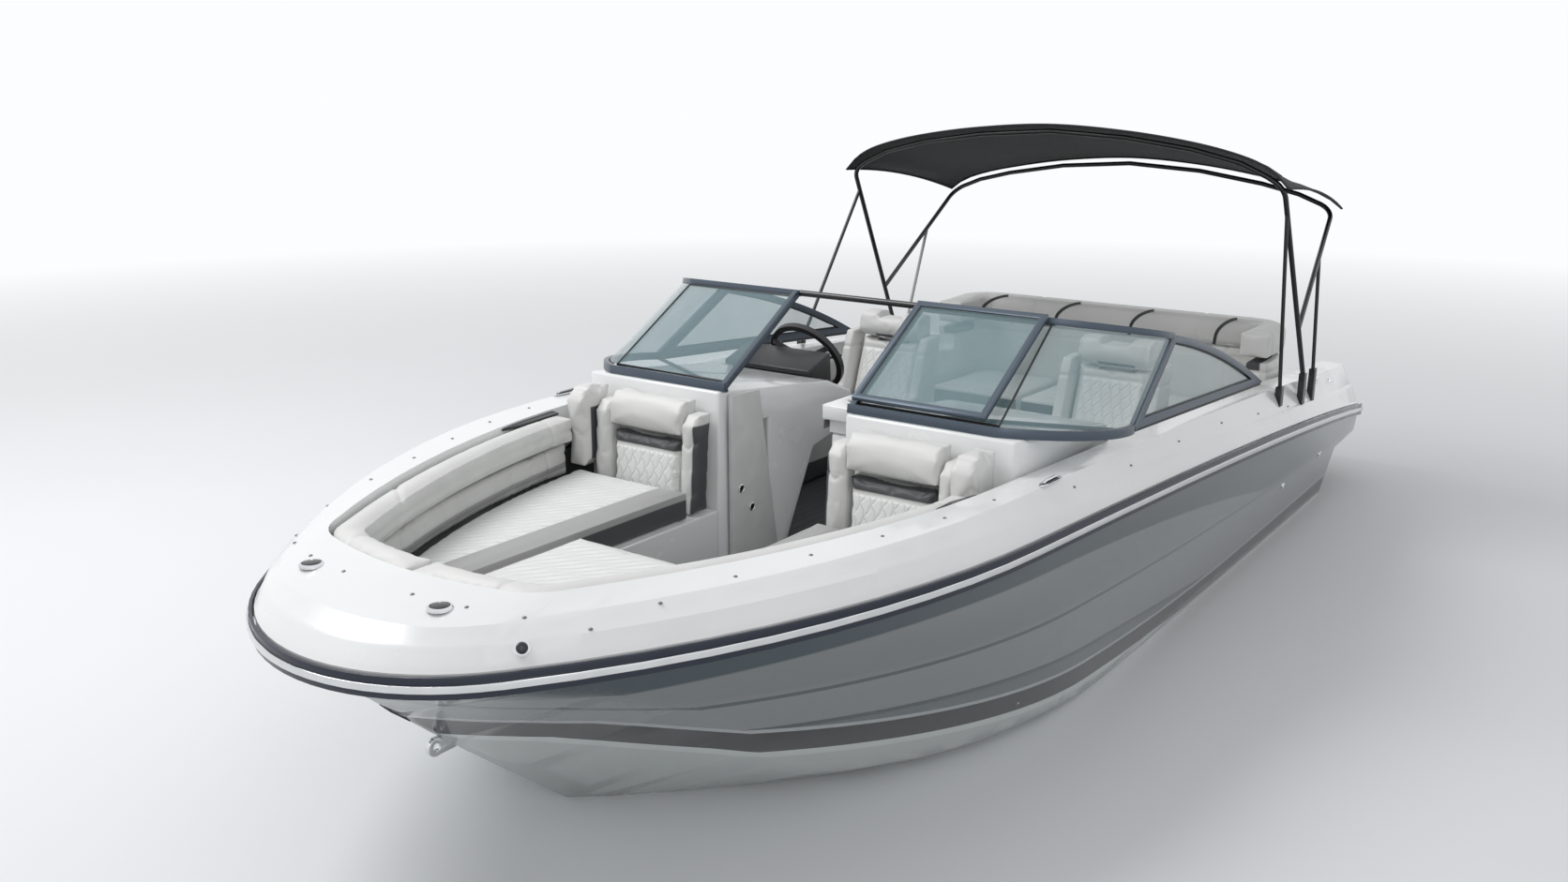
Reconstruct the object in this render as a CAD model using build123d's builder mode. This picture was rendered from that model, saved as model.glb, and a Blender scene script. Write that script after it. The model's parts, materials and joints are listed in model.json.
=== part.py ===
"""Open-bow sterndrive runabout with a raised sun top, seen afloat.

Millimetres. +X points to the bow, +Y to port and +Z up. The origin is on the
waterline, on the centreline, amidships.
"""
from build123d import *
from math import asin, atan2, cos, hypot, pi, radians, sin, sqrt
import os

os.makedirs("parts", exist_ok=True)

# Hull, driving dimensions
HALF_BEAM = 1280.0
BOW_X = 3300.0
STERN_X = -3300.0
TRANSOM_X = -2750.0
KEEL_Z = -420.0
WALL = 45.0
SOLE_Z = 220.0
SOLE_T = 20.0
PLATFORM_T = 110.0

# Sheer line at the rubbing rail: height at the stern, amidships and at the bow
SHEER = ((STERN_X, 400.0), (0.0, 812.0), (BOW_X, 812.0))

# Windshield: the panes lean aft, port and starboard alike
GLASS_FOOT_IN = (1125.0, 293.0, 1138.0)
GLASS_HEAD_IN = (626.0, 288.0, 1459.0)
GLASS_FOOT_OUT = (542.0, 1165.0, 1070.0)
GLASS_HEAD_OUT = (74.0, 1120.0, 1351.0)
GLASS_TAIL = (-1075.0, 1135.0, 960.0)
FRAME_W = 30.0
FRAME_T = 22.0
GLASS_T = 6.0
GLASS_GAP = 2.0

# Bow lounge and cockpit
AISLE_Y = 290.0
FOOTWELL_FRONT_X = 1970.0
SEAT_TOP_Z = 760.0
CUSHION_T = 115.0
CONSOLE_AFT_X = 380.0
CONSOLE_FRONT_X = 1180.0
BENCH_FRONT_X = -1450.0
BENCH_TOP_Z = 620.0
BACK_TOP_Z = 1020.0
HATCH_FRONT_X = -2320.0
HATCH_AFT_X = -2690.0
HATCH_Z = 735.0
HATCH_HALF_Y = 620.0

# Helm
WHEEL_CENTRE = (60.0, -650.0, 1050.0)
WHEEL_R = 180.0
WHEEL_TILT = 30.0

# Sterndrive
STEER_X = -2850.0
TILT_Z = 20.0
SHAFT_Z = -570.0
PROP_X = -3110.0
PROP_R = 185.0

# Sun top
TOP_HALF_Y = 1200.0

# Farther ahead than any piece
AHEAD_X = 4000.0
TUBE_R = 12.0


def sheer_z(x):
    """Height of the rail at x, on the circle through the three sheer points."""
    (x1, z1), (x2, z2), (x3, z3) = SHEER
    a = (z2 - z1) / (x2 - x1)
    b = ((z3 - z2) / (x3 - x2) - a) / (x3 - x1)
    return z1 + a * (x - x1) + b * (x - x1) * (x - x2)


class PlanCurve:
    """Half of a plan outline: arcs from the stern to the stem, each tangent to the next."""

    def __init__(self, arcs):
        self.arcs = arcs
        self.last = len(arcs) - 1

    def start_angle(self, stern_x):
        """Angle at which the aft arc crosses x = stern_x."""
        (cx, cy), radius, _, _ = self.arcs[0]
        return pi / 2 + asin((cx - stern_x) / radius)

    def point(self, u, stern_x):
        """Point at u from 0, the stern; the whole part of u is the arc."""
        index = min(int(u), self.last)
        (cx, cy), radius, a0, a1 = self.arcs[index]
        if a0 is None:
            a0 = self.start_angle(stern_x)
        angle = a0 + (a1 - a0) * (u - index)
        return cx + radius * cos(angle), cy + radius * sin(angle), angle

    def stations(self, stern_x):
        """Ends and middles of the arcs."""
        return [self.point(i / 2, stern_x)[:2] for i in range(2 * self.last + 3)]


def aft_arc(half_beam, radius, widest_x, join_x):
    """Centre of the aft arc, its end and the angle between its end and straight aft."""
    lean = asin((join_x - widest_x) / radius)
    centre = (widest_x, half_beam - radius)
    return centre, (join_x, centre[1] + radius * cos(lean)), lean


def pointed_plan(half_beam, aft_radius, widest_x, join_x, stem_x, bow_radius, inset=0.0):
    """Outline of an aft, a shoulder and a bow arc."""
    centre, joint, lean = aft_arc(half_beam, aft_radius, widest_x, join_x)
    bow = (stem_x - bow_radius, 0.0)
    dx = joint[0] - bow[0]
    along = -dx * sin(lean) - joint[1] * cos(lean)
    radius = (bow_radius**2 - dx**2 - joint[1] ** 2) / (2 * (along + bow_radius))
    side = (joint[0] - radius * sin(lean), joint[1] - radius * cos(lean))
    turn = atan2(bow[1] - side[1], bow[0] - side[0])
    return PlanCurve(
        (
            (centre, aft_radius - inset, None, pi / 2 - lean),
            (side, radius - inset, pi / 2 - lean, turn),
            (bow, bow_radius - inset, turn, 0.0),
        )
    )


def squared_plan(half_beam, aft_radius, widest_x, join_x, side_r, corner_r, front_r, stem_x, inset=0.0):
    """Outline of an aft, a side, a corner and a front arc; the corner touches both neighbours."""
    centre, joint, lean = aft_arc(half_beam, aft_radius, widest_x, join_x)
    side = (joint[0] - side_r * sin(lean), joint[1] - side_r * cos(lean))
    front = (stem_x - front_r, 0.0)
    to_side = side_r - corner_r
    to_front = front_r - corner_r
    gap = hypot(side[0] - front[0], side[1])
    along = (to_front**2 - to_side**2 + gap**2) / (2 * gap)
    off = sqrt(to_front**2 - along**2)
    ux, uy = (side[0] - front[0]) / gap, (side[1] - front[1]) / gap
    choices = [(front[0] + ux * along - uy * s, front[1] + uy * along + ux * s) for s in (off, -off)]
    corner = max(choices, key=lambda p: p[0])
    turn_side = atan2(corner[1] - side[1], corner[0] - side[0])
    turn_front = atan2(corner[1] - front[1], corner[0] - front[0])
    return PlanCurve(
        (
            (centre, aft_radius - inset, None, pi / 2 - lean),
            (side, side_r - inset, pi / 2 - lean, turn_side),
            (corner, corner_r - inset, turn_side, turn_front),
            (front, front_r - inset, turn_front, 0.0),
        )
    )


RAIL = dict(
    half_beam=HALF_BEAM,
    aft_radius=24400.0,
    widest_x=-300.0,
    join_x=1438.0,
    stem_x=BOW_X,
    bow_radius=709.0,
)
# Edge of the cockpit and bow openings in the deck
OPENING_EDGE = dict(
    half_beam=1060.0,
    aft_radius=25000.0,
    widest_x=-300.0,
    join_x=1250.0,
    side_r=3300.0,
    corner_r=200.0,
    front_r=1500.0,
    stem_x=2955.0,
)

# Plan outlines that the topsides are lofted through
# z, half_beam, aft_radius, widest_x, join_x, stem_x, bow_radius
TOPSIDES = (
    (-500.0, 1000.0, 200000.0, 0.0, 300.0, 2050.0, 60.0),
    (0.0, 1065.0, 200000.0, 0.0, 600.0, 2400.0, 100.0),
    (450.0, 1202.0, 52000.0, -100.0, 975.0, 3070.0, 304.0),
    (950.0, 1309.0, 34000.0, -1110.0, 1469.0, 3312.0, 868.0),
)

# Bottom sections: x, keel_z, rise of the vee per mm out from the keel
BOTTOM = (
    (-3400.0, KEEL_Z, 0.39),
    (300.0, KEEL_Z, 0.40),
    (700.0, -414.0, 0.41),
    (1000.0, -400.0, 0.43),
    (1300.0, -371.0, 0.44),
    (1550.0, -330.0, 0.455),
    (1770.0, -276.0, 0.475),
    (1960.0, -213.0, 0.50),
    (2130.0, -142.0, 0.54),
    (2280.0, -63.0, 0.58),
    (2360.0, -5.0, 0.60),
    (2597.0, 195.0, 0.58),
    (2831.0, 396.0, 0.52),
    (3010.0, 560.0, 0.40),
    (3150.0, 690.0, 0.25),
    (3250.0, 788.0, 0.12),
    (3480.0, 1000.0, 0.02),
)
BOTTOM_HALF_Y = 1700.0
BOTTOM_TOP_Z = 1400.0


def closed_outline(curve, stern_x):
    """Draw the closed plan outline inside the current line builder."""
    port = curve.stations(stern_x)
    star = [(x, -y) for x, y in port]
    starts = range(0, len(port) - 1, 2)
    for i in starts:
        ThreePointArc(port[i], port[i + 1], port[i + 2])
    for i in reversed(starts):
        ThreePointArc(star[i + 2], star[i + 1], star[i])
    Line(star[0], port[0])


def topsides(inset):
    """Loft through the plan outlines, drawn in by inset."""
    with BuildPart() as body:
        for z, *shape in TOPSIDES:
            with BuildSketch(Plane.XY.offset(z)):
                with BuildLine():
                    closed_outline(pointed_plan(*shape, inset=inset), STERN_X)
                make_face()
        loft()
    return body.part


def bottom(lift):
    """Vee bottom with wings wider than the boat, raised by lift."""
    with BuildPart() as body:
        for x, keel, rise in BOTTOM:
            wing = keel + lift + rise * BOTTOM_HALF_Y
            with BuildSketch(Plane.YZ.offset(x)):
                with BuildLine():
                    Polyline(
                        (0, keel + lift),
                        (BOTTOM_HALF_Y, wing),
                        (BOTTOM_HALF_Y, BOTTOM_TOP_Z),
                        (-BOTTOM_HALF_Y, BOTTOM_TOP_Z),
                        (-BOTTOM_HALF_Y, wing),
                        close=True,
                    )
                make_face()
        loft(ruled=True)
    return body.part


def side_profile_block(drop):
    """Everything below the sheer line less drop."""
    with BuildPart() as body:
        with BuildSketch(Plane.XZ):
            with BuildLine():
                pts = [(x, sheer_z(x) - drop) for x in (STERN_X - 100, 0, BOW_X + 200)]
                ThreePointArc(*pts)
                Polyline(pts[2], (pts[2][0], -900), (pts[0][0], -900), pts[0])
            make_face()
        extrude(amount=1500, both=True)
    return body.part


def slab(x0, x1, y0, y1, z0, z1):
    """Plain box between six coordinates."""
    box = Box(x1 - x0, y1 - y0, z1 - z0, mode=Mode.PRIVATE)
    return Pos((x0 + x1) / 2, (y0 + y1) / 2, (z0 + z1) / 2) * box


def save(part, label):
    """Label a finished piece and write its file."""
    part.label = label
    export_step(part, f"parts/{label}.step")
    return part


def outer_solid(part):
    """Largest solid of a part."""
    return part.solids().sort_by(SortBy.VOLUME)[-1]


RAIL_CURVE = pointed_plan(**RAIL)
(AFT_X, AFT_Y), AFT_R, _, _ = RAIL_CURVE.arcs[0]
CORNER_R = 180.0
CORNER_X = STERN_X + CORNER_R
CORNER_Y = AFT_Y + sqrt((AFT_R - CORNER_R) ** 2 - (CORNER_X - AFT_X) ** 2)
CORNER_TURN = atan2(CORNER_Y - AFT_Y, CORNER_X - AFT_X)
CORNER_START_X = AFT_X + AFT_R * cos(CORNER_TURN)


def corner_point(angle):
    """Point on the round stern corner."""
    return CORNER_X + CORNER_R * cos(angle), CORNER_Y + CORNER_R * sin(angle)


def stern_block():
    """Everything inside the round stern corners."""
    ends = [corner_point(a) for a in (CORNER_TURN, (CORNER_TURN + pi) / 2, pi)]
    star = [(x, -y) for x, y in ends]
    start_x, wide = ends[0][0], 1500
    with BuildPart() as body:
        with BuildSketch(Plane.XY.offset(-900)):
            with BuildLine():
                ThreePointArc(*ends)
                Line(ends[2], star[2])
                ThreePointArc(star[2], star[1], star[0])
                Polyline(star[0], (start_x, -wide), (AHEAD_X, -wide))
                Polyline((AHEAD_X, -wide), (AHEAD_X, wide), (start_x, wide), ends[0])
            make_face()
        extrude(amount=2400)
    return body.part


# Hull: topsides and vee bottom meet at the chine, under the sheer line
outer = topsides(0.0) & bottom(0.0) & side_profile_block(20.0) & stern_block()
cavity = topsides(WALL) & bottom(60.0)
fit_out = topsides(WALL + 12) & bottom(75.0)
well = cavity & slab(TRANSOM_X + 60, BOW_X, -1500, 1500, SOLE_Z - SOLE_T, 1500)

TRANSOM_RAKE = 12.0
PLATFORM_TOP = sheer_z(STERN_X) - 20
PLATFORM_UNDER = PLATFORM_TOP - PLATFORM_T
ENGINE = dict(x0=-2580.0, x1=-1930.0, half_y=380.0, z0=-180.0, z1=480.0)
BAY_GAP = 40.0

with BuildPart() as hull:
    add(outer)
    with BuildSketch(Plane.XZ):
        with BuildLine():
            low_x = TRANSOM_X + 900 * sin(radians(TRANSOM_RAKE)) / cos(radians(TRANSOM_RAKE))
            Polyline(
                (TRANSOM_X, PLATFORM_UNDER),
                (low_x, PLATFORM_UNDER - 900),
                (STERN_X - 200, PLATFORM_UNDER - 900),
                (STERN_X - 200, PLATFORM_UNDER),
                close=True,
            )
        make_face()
    extrude(amount=1500, both=True, mode=Mode.SUBTRACT)
    add(well, mode=Mode.SUBTRACT)
    with BuildSketch(Plane.XY.offset(PLATFORM_TOP)):
        with BuildLine():
            closed_outline(pointed_plan(**RAIL, inset=40.0), STERN_X - 100)
        make_face()
        with Locations(((TRANSOM_X + AHEAD_X) / 2, 0)):
            Rectangle(AHEAD_X - TRANSOM_X, 2 * AHEAD_X, mode=Mode.SUBTRACT)
    extrude(amount=400, mode=Mode.SUBTRACT)
    add(
        slab(
            ENGINE["x0"] - 5,
            ENGINE["x1"] + BAY_GAP,
            -ENGINE["half_y"] - BAY_GAP,
            ENGINE["half_y"] + BAY_GAP,
            ENGINE["z0"],
            SOLE_Z,
        ),
        mode=Mode.SUBTRACT,
    )
save(hull.part, "hull")

# Deck: a band of sections round the boat from the port quarter past the bow
OPENING = squared_plan(**OPENING_EDGE)
DECK_AFT_X = -3180.0
# u along both curves, lip in from the rail, crease above rail, shoulder above rail,
# inner edge height, inner lip, 1 where the section is solid
DECK = (
    (0.00, 14.0, 52.0, 70.0, 505.0, 110.0, 1.0),
    (0.02, 1.0, 138.0, 258.0, 700.0, 300.0, 1.0),
    (0.04, 1.0, 132.0, 250.0, 715.0, 320.0, 0.0),
    (0.088, 1.0, 118.0, 235.0, 742.0, 347.0, 0.0),
    (0.10, 1.0, 115.0, 232.0, 748.0, 70.0, 0.0),
    (0.24, 1.0, 100.0, 205.0, 805.0, 70.0, 0.0),
    (0.478, 1.0, 84.0, 188.0, 928.0, 70.0, 0.0),
    (0.715, 1.0, 88.0, 172.0, 985.0, 70.0, 0.0),
    (1.00, 1.0, 92.0, 150.0, 1005.0, 70.0, 0.0),
    (1.50, 1.0, 98.0, 140.0, 1000.0, 70.0, 0.0),
    (2.00, 1.0, 95.0, 135.0, 995.0, 70.0, 0.0),
    (3.00, 1.0, 90.0, 130.0, 990.0, 70.0, 0.0),
)
LIP_IN = 10.0
CREASE_IN = 44.0
LEDGE_IN = 61.0
SHOULDER_IN = 112.0
DECK_T = 26.0


def deck_section(row, side):
    """Closed section of the deck band: lip, band, crease, upper band, shoulder and flat top."""
    u, edge, crease_up, shoulder_up, inner_z, inner_lip, filled = row
    x, y, angle = RAIL_CURVE.point(u, DECK_AFT_X)
    inner_x, inner_y, _ = OPENING.point(u if u < 2 else 2 * u - 2, DECK_AFT_X)
    span = hypot(inner_x - x, inner_y - y)
    nx, ny = (inner_x - x) / span, (inner_y - y) / span
    z = sheer_z(x)
    foot = inner_z - inner_lip
    outside = (
        (edge, z - 14),
        (edge, z + 34),
        (edge + LIP_IN, z + 41),
        (CREASE_IN, z + crease_up - 4),
        (LEDGE_IN, z + crease_up + 5),
        (SHOULDER_IN, z + shoulder_up),
        (span, inner_z),
        (span, foot),
    )
    shell = (
        (span - DECK_T, foot),
        (span - DECK_T, inner_z - DECK_T),
        (SHOULDER_IN + DECK_T * 0.7, z + shoulder_up - DECK_T),
        (LEDGE_IN + DECK_T * 0.8, z + crease_up - 10),
        (DECK_T, z - 14),
    )
    underside = []
    for i, (d, height) in enumerate(shell):
        share = (i + 1) / (len(shell) + 1)
        flat_d = span + (edge - span) * share
        flat_z = foot + (z - 14 - foot) * share
        underside.append((d + (flat_d - d) * filled, height + (flat_z - height) * filled))
    corners = (*outside, *underside)
    points = [Vector(x + nx * d, side * (y + ny * d), height) for d, height in corners]
    return Wire.make_polygon(points, close=True)


def between(table, u):
    """Row of the table at u, straight between the rows on each side."""
    for low, high in zip(table, table[1:]):
        if u <= high[0]:
            share = (u - low[0]) / (high[0] - low[0])
            return tuple(a + (b - a) * share for a, b in zip(low, high))
    return table[-1]


# Stations round one side: long steps aft, short ones round the bow
SIDE_STATIONS = [0, 0.02, 0.04, 0.088, 0.1, 0.17, 0.24, 0.36, 0.478, 0.6, 0.715, 0.86]
BOW_STATIONS = [1 + i / 10 for i in range(21)]
STATIONS = SIDE_STATIONS + BOW_STATIONS
port_rows = [deck_section(between(DECK, u), 1) for u in STATIONS]
star_rows = [deck_section(between(DECK, u), -1) for u in STATIONS[-2::-1]]
band = Solid.make_loft(port_rows + star_rows, ruled=True)

with BuildPart() as deck:
    add(band)
save(deck.part, "deck")

# Rubbing rail and its bright insert: round the stern corner, then along the side
RAIL_H = 62.0
RAIL_DROP = 45.0
RAIL_GAP = 6.0
RAIL_OUT = 16.0
INSERT_OUT = 8.0
JOINT_GAP = 2.0
# x, y, direction outward and drop of the rail at each station
RAIL_PATH = [(STERN_X, JOINT_GAP, pi, RAIL_DROP)]
for i in range(6):
    share = 1 - i / 6
    angle = CORNER_TURN + (pi - CORNER_TURN) * share
    RAIL_PATH.append((*corner_point(angle), angle, RAIL_DROP * share))
for u in [i / 8 for i in range(8)] + BOW_STATIONS:
    RAIL_PATH.append((*RAIL_CURVE.point(u, CORNER_START_X), 0.0))


def rail_section(place, side, inset, out, low, high):
    """Rectangle across the rail at one station."""
    x, y, angle, drop = place
    z = sheer_z(x) - drop
    pts = ((inset, low), (-out, low), (-out, high), (inset, high))
    across = [(x - cos(angle) * d, y - sin(angle) * d, z + h) for d, h in pts]
    return Wire.make_polygon([Vector(px, side * py, pz) for px, py, pz in across], close=True)


def rail_band(inset, out, low, high):
    """Loft of rail sections round the whole boat, with a joint at the middle of the stern."""
    port = [rail_section(place, 1, inset, out, low, high) for place in RAIL_PATH]
    star = [rail_section(place, -1, inset, out, low, high) for place in RAIL_PATH[-2::-1]]
    return Solid.make_loft(port + star, ruled=True)


with BuildPart() as rub_rail:
    add(rail_band(-RAIL_GAP, RAIL_OUT, -RAIL_H / 2, RAIL_H / 2))
save(rub_rail.part, "rub_rail")
with BuildPart() as rail_insert:
    add(rail_band(-RAIL_OUT, RAIL_OUT + INSERT_OUT, -11.0, 11.0))
save(rail_insert.part, "rail_insert")

# Cockpit sole
with BuildPart() as sole:
    add(fit_out & slab(-1880, FOOTWELL_FRONT_X, -1500, 1500, SOLE_Z - SOLE_T, SOLE_Z))
save(sole.part, "cockpit_sole")
inside = fit_out & slab(-2690, BOW_X, -1500, 1500, SOLE_Z, 930)

# Bow lounge: moulded seat base, cushions, bolsters and backrests
SEAT_BASE_Z = SEAT_TOP_Z - CUSHION_T
with BuildPart() as bow_base:
    add(inside & slab(CONSOLE_FRONT_X + 5, BOW_X, -1400, 1400, SOLE_Z, SEAT_BASE_Z))
    add(slab(CONSOLE_FRONT_X, FOOTWELL_FRONT_X, -AISLE_Y, AISLE_Y, SOLE_Z, 900), mode=Mode.SUBTRACT)
save(bow_base.part, "bow_seat_base")

SIDE_PAD = 95.0
seat_zone = squared_plan(**OPENING_EDGE, inset=SIDE_PAD)
with BuildPart() as seat_blank:
    with BuildSketch(Plane.XY.offset(SEAT_BASE_Z)):
        with BuildLine():
            closed_outline(seat_zone, TRANSOM_X)
        make_face()
    extrude(amount=CUSHION_T)
BACK_FRONT_X = CONSOLE_FRONT_X + 158
CUSHION_FRONT_X = 2780.0
GAP = 8.0
# Two side cushions and the one across the front
BOW_CUSHIONS = (
    (BACK_FRONT_X, AISLE_Y + GAP, 1300),
    (BACK_FRONT_X, -1300, -AISLE_Y - GAP),
    (FOOTWELL_FRONT_X, -AISLE_Y + GAP, AISLE_Y - GAP),
)
with BuildPart() as bow_cushions:
    for x, y0, y1 in BOW_CUSHIONS:
        add(seat_blank.part & slab(x, CUSHION_FRONT_X, y0, y1, 0, 2000))
save(bow_cushions.part, "bow_seat_cushions")

# Bolsters in two tiers: a lower pad under a thicker roll
# bottom, top, inner inset
TIERS = ((SEAT_TOP_Z + GAP, 872.0, SIDE_PAD - 20), (878.0, 984.0, SIDE_PAD + 22))
BOLSTER_AFT_X = CONSOLE_FRONT_X + 198
with BuildPart() as bow_bolsters:
    for low, high, inner in TIERS:
        with BuildSketch(Plane.XY.offset(low)):
            with BuildLine():
                closed_outline(squared_plan(**OPENING_EDGE, inset=GAP), TRANSOM_X)
            make_face()
            with BuildLine():
                closed_outline(squared_plan(**OPENING_EDGE, inset=inner), TRANSOM_X - 50)
            make_face(mode=Mode.SUBTRACT)
        extrude(amount=high - low)
    add(slab(-4000, BOLSTER_AFT_X, -1500, 1500, 0, 2000), mode=Mode.SUBTRACT)
    add(slab(1000, 4000, -2, 2, 0, 2000), mode=Mode.SUBTRACT)
save(bow_bolsters.part, "bow_bolsters")

# Backrests: each has a panel, a head roll, two side wings and a corner pad
BACK_X = CONSOLE_FRONT_X + 12
PAD_FOOT = SEAT_BASE_Z + 4
PAD_REST = SEAT_TOP_Z + 6
# y0, y1 and the profile of x, z corners from the foot up
BACK_PARTS = (
    (392, 772, ((25, PAD_FOOT), (112, PAD_FOOT), (84, 942), (2, 942))),
    (388, 776, ((0, 948), (104, 956), (106, 1050), (64, 1096), (-16, 1096))),
    (312, 384, ((25, PAD_FOOT), (136, PAD_FOOT), (112, 1010), (70, 1052), (-8, 1052))),
    (780, 848, ((25, PAD_FOOT), (136, PAD_FOOT), (112, 1010), (70, 1052), (-8, 1052))),
    (856, 950, ((10, PAD_REST), (168, PAD_REST), (178, 1050), (136, 1102), (-4, 1102))),
)
with BuildPart() as bow_backs:
    for y0, y1, profile in BACK_PARTS:
        with BuildSketch(Plane.XZ.offset(-y0)):
            with BuildLine():
                Polyline(*[(BACK_X + x, z) for x, z in profile], close=True)
            make_face()
        extrude(amount=y0 - y1)
    mirror(about=Plane.XZ)
save(bow_backs.part, "bow_backrests")


def cowl_z(x):
    """Top of the consoles, in line with the foot of the windshield."""
    slope = (GLASS_FOOT_IN[2] - GLASS_FOOT_OUT[2]) / (GLASS_FOOT_IN[0] - GLASS_FOOT_OUT[0])
    return GLASS_FOOT_IN[2] - 15 + slope * (x - GLASS_FOOT_IN[0])


CONSOLE_SIDE_Y = 1000.0
LOCKER = (830.0, 1090.0, -880.0, -AISLE_Y, 300.0, 960.0)
# Consoles: side profile with an open knee space under the dash
with BuildPart() as helm_console:
    with BuildSketch(Plane.XZ.offset(AISLE_Y + 10)):
        with BuildLine():
            Polyline(
                (CONSOLE_FRONT_X, SOLE_Z),
                (CONSOLE_FRONT_X - 20, cowl_z(CONSOLE_FRONT_X - 20)),
                (CONSOLE_AFT_X, cowl_z(CONSOLE_AFT_X)),
                (CONSOLE_AFT_X - 180, 960),
                (CONSOLE_AFT_X - 100, 800),
                (CONSOLE_AFT_X + 120, 760),
                (CONSOLE_AFT_X + 400, SOLE_Z),
                close=True,
            )
        make_face()
    extrude(amount=CONSOLE_SIDE_Y - AISLE_Y - 10)
    add(slab(*LOCKER), mode=Mode.SUBTRACT)
save(helm_console.part, "helm_console")

with BuildPart() as port_console:
    with BuildSketch(Plane.XZ.offset(-AISLE_Y - 10)):
        with BuildLine():
            Polyline(
                (CONSOLE_FRONT_X, SOLE_Z),
                (CONSOLE_FRONT_X - 20, cowl_z(CONSOLE_FRONT_X - 20)),
                (CONSOLE_AFT_X, cowl_z(CONSOLE_AFT_X)),
                (CONSOLE_AFT_X - 60, 900),
                (CONSOLE_AFT_X + 120, 700),
                (CONSOLE_AFT_X + 400, SOLE_Z),
                close=True,
            )
        make_face()
    extrude(amount=-(CONSOLE_SIDE_Y - AISLE_Y - 10))
    add(slab(820, 1037, 155, AISLE_Y + 10, SOLE_Z, 1006))
save(port_console.part, "port_console")

# Ledge with a cup holder on a column at the aisle side of the port console
CUP_PLACE = (925.0, 214.0)
CUP_R = 42.0
LEDGE_TOP_Z = 1120.0
with BuildPart() as cup_ledge:
    add(slab(795, 1062, 130, AISLE_Y + 8, 1062, LEDGE_TOP_Z))
    add(slab(815, 1042, 150, AISLE_Y + 8, 1008, 1062))
    with Locations((*CUP_PLACE, LEDGE_TOP_Z)):
        CounterSinkHole(CUP_R, CUP_R + 6, depth=100)
save(cup_ledge.part, "cup_ledge")

with BuildPart() as dash:
    with BuildSketch(Plane.XZ.offset(420)):
        with BuildLine():
            Polyline((375, 1062), (200, 1120), (190, 975), (375, 1040), close=True)
        make_face()
    extrude(amount=480)
dash_part = dash.part - helm_console.part
save(dash_part, "dash_pod")

# Side panels of the cockpit, just inboard of the deck's edge
ARM_FRONT_X = -1510.0
panel_outer = squared_plan(**OPENING_EDGE, inset=6.0)
panel_inner = squared_plan(**OPENING_EDGE, inset=36.0)
with BuildPart() as side_panels:
    with BuildSketch(Plane.XY.offset(SOLE_Z)):
        with BuildLine():
            closed_outline(panel_outer, TRANSOM_X)
        make_face()
    extrude(amount=660)
    with BuildSketch(Plane.XY.offset(SOLE_Z)):
        with BuildLine():
            closed_outline(panel_inner, TRANSOM_X - 50)
        make_face()
    extrude(amount=700, mode=Mode.SUBTRACT)
panel_part = side_panels.part & slab(ARM_FRONT_X + 8, 180, -1500, 1500, 0, 1500)
save(panel_part, "side_panels")

# Helm and companion seats on pedestals: a pan with its back, two wings and a head roll
SEATS = (("helm_seat", -420.0, -620.0), ("companion_seat", -420.0, 600.0))
SEAT_BODY = ((225, 640), (242, 700), (205, 745), (-120, 722), (-218, 1040), (-318, 1040), (-250, 640))
SEAT_WING = (
    (190, 640),
    (205, 760),
    (150, 792),
    (-70, 800),
    (-150, 1000),
    (-190, 1075),
    (-322, 1075),
    (-250, 640),
)
HEAD_ROLL = ((-196, 1044), (-176, 1080), (-196, 1160), (-250, 1176), (-330, 1168), (-334, 1044))
SEAT_HALF_Y = 250.0
WING_W = 58.0
NOTCH = 70.0
for label, x, y in SEATS:
    with BuildPart() as seat:
        for profile, y0, y1 in (
            (SEAT_BODY, WING_W + 3 - SEAT_HALF_Y, SEAT_HALF_Y - WING_W - 3),
            (SEAT_WING, -SEAT_HALF_Y, WING_W - SEAT_HALF_Y),
            (SEAT_WING, SEAT_HALF_Y - WING_W, SEAT_HALF_Y),
            (HEAD_ROLL, -180, 180),
        ):
            with BuildSketch(Plane.XZ.offset(-y - y0)):
                with BuildLine():
                    Polyline(*[(x + px, pz) for px, pz in profile], close=True)
                make_face()
            extrude(amount=y0 - y1)
        add(slab(x - 400, x, y - NOTCH, y + NOTCH, 1142, 1200), mode=Mode.SUBTRACT)
    save(seat.part, label)

with BuildPart() as pedestals:
    for _, x, y in SEATS:
        with BuildSketch(Plane.XY.offset(SOLE_Z)):
            with Locations((x, y)):
                Circle(120)
        extrude(amount=16)
        with BuildSketch(Plane.XY.offset(SOLE_Z + 16)):
            with Locations((x, y)):
                Circle(42)
        extrude(amount=402)
save(pedestals.part, "seat_pedestals")

# Aft bench in three cushions, and the back that wraps round it
BENCH_HALF_Y = 960.0
BACK_AFT_X = -2180.0
BACK_OUT_Y = 972.0
BACK_T = 120.0
ROLL_T = 160.0
ROLL_FRONT_X = -1730.0
ARM_TOP_Z = 800.0
ROLL_Z = (936.0, 1066.0)
BACK_CORNER_R = 230.0
BENCH_INNER_Y = BACK_OUT_Y - BACK_T - 6
SPLITS = (-BENCH_INNER_Y, -288.0, 288.0, BENCH_INNER_Y)
bay = slab(-2100, ENGINE["x1"] + BAY_GAP, -ENGINE["half_y"] - BAY_GAP, ENGINE["half_y"] + BAY_GAP, 0, 900)
with BuildPart() as bench_base:
    add(slab(-2040, BENCH_FRONT_X, -BENCH_HALF_Y, BENCH_HALF_Y, SOLE_Z, BENCH_TOP_Z - CUSHION_T))
    add(bay, mode=Mode.SUBTRACT)
save(bench_base.part, "aft_bench_base")
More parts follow.
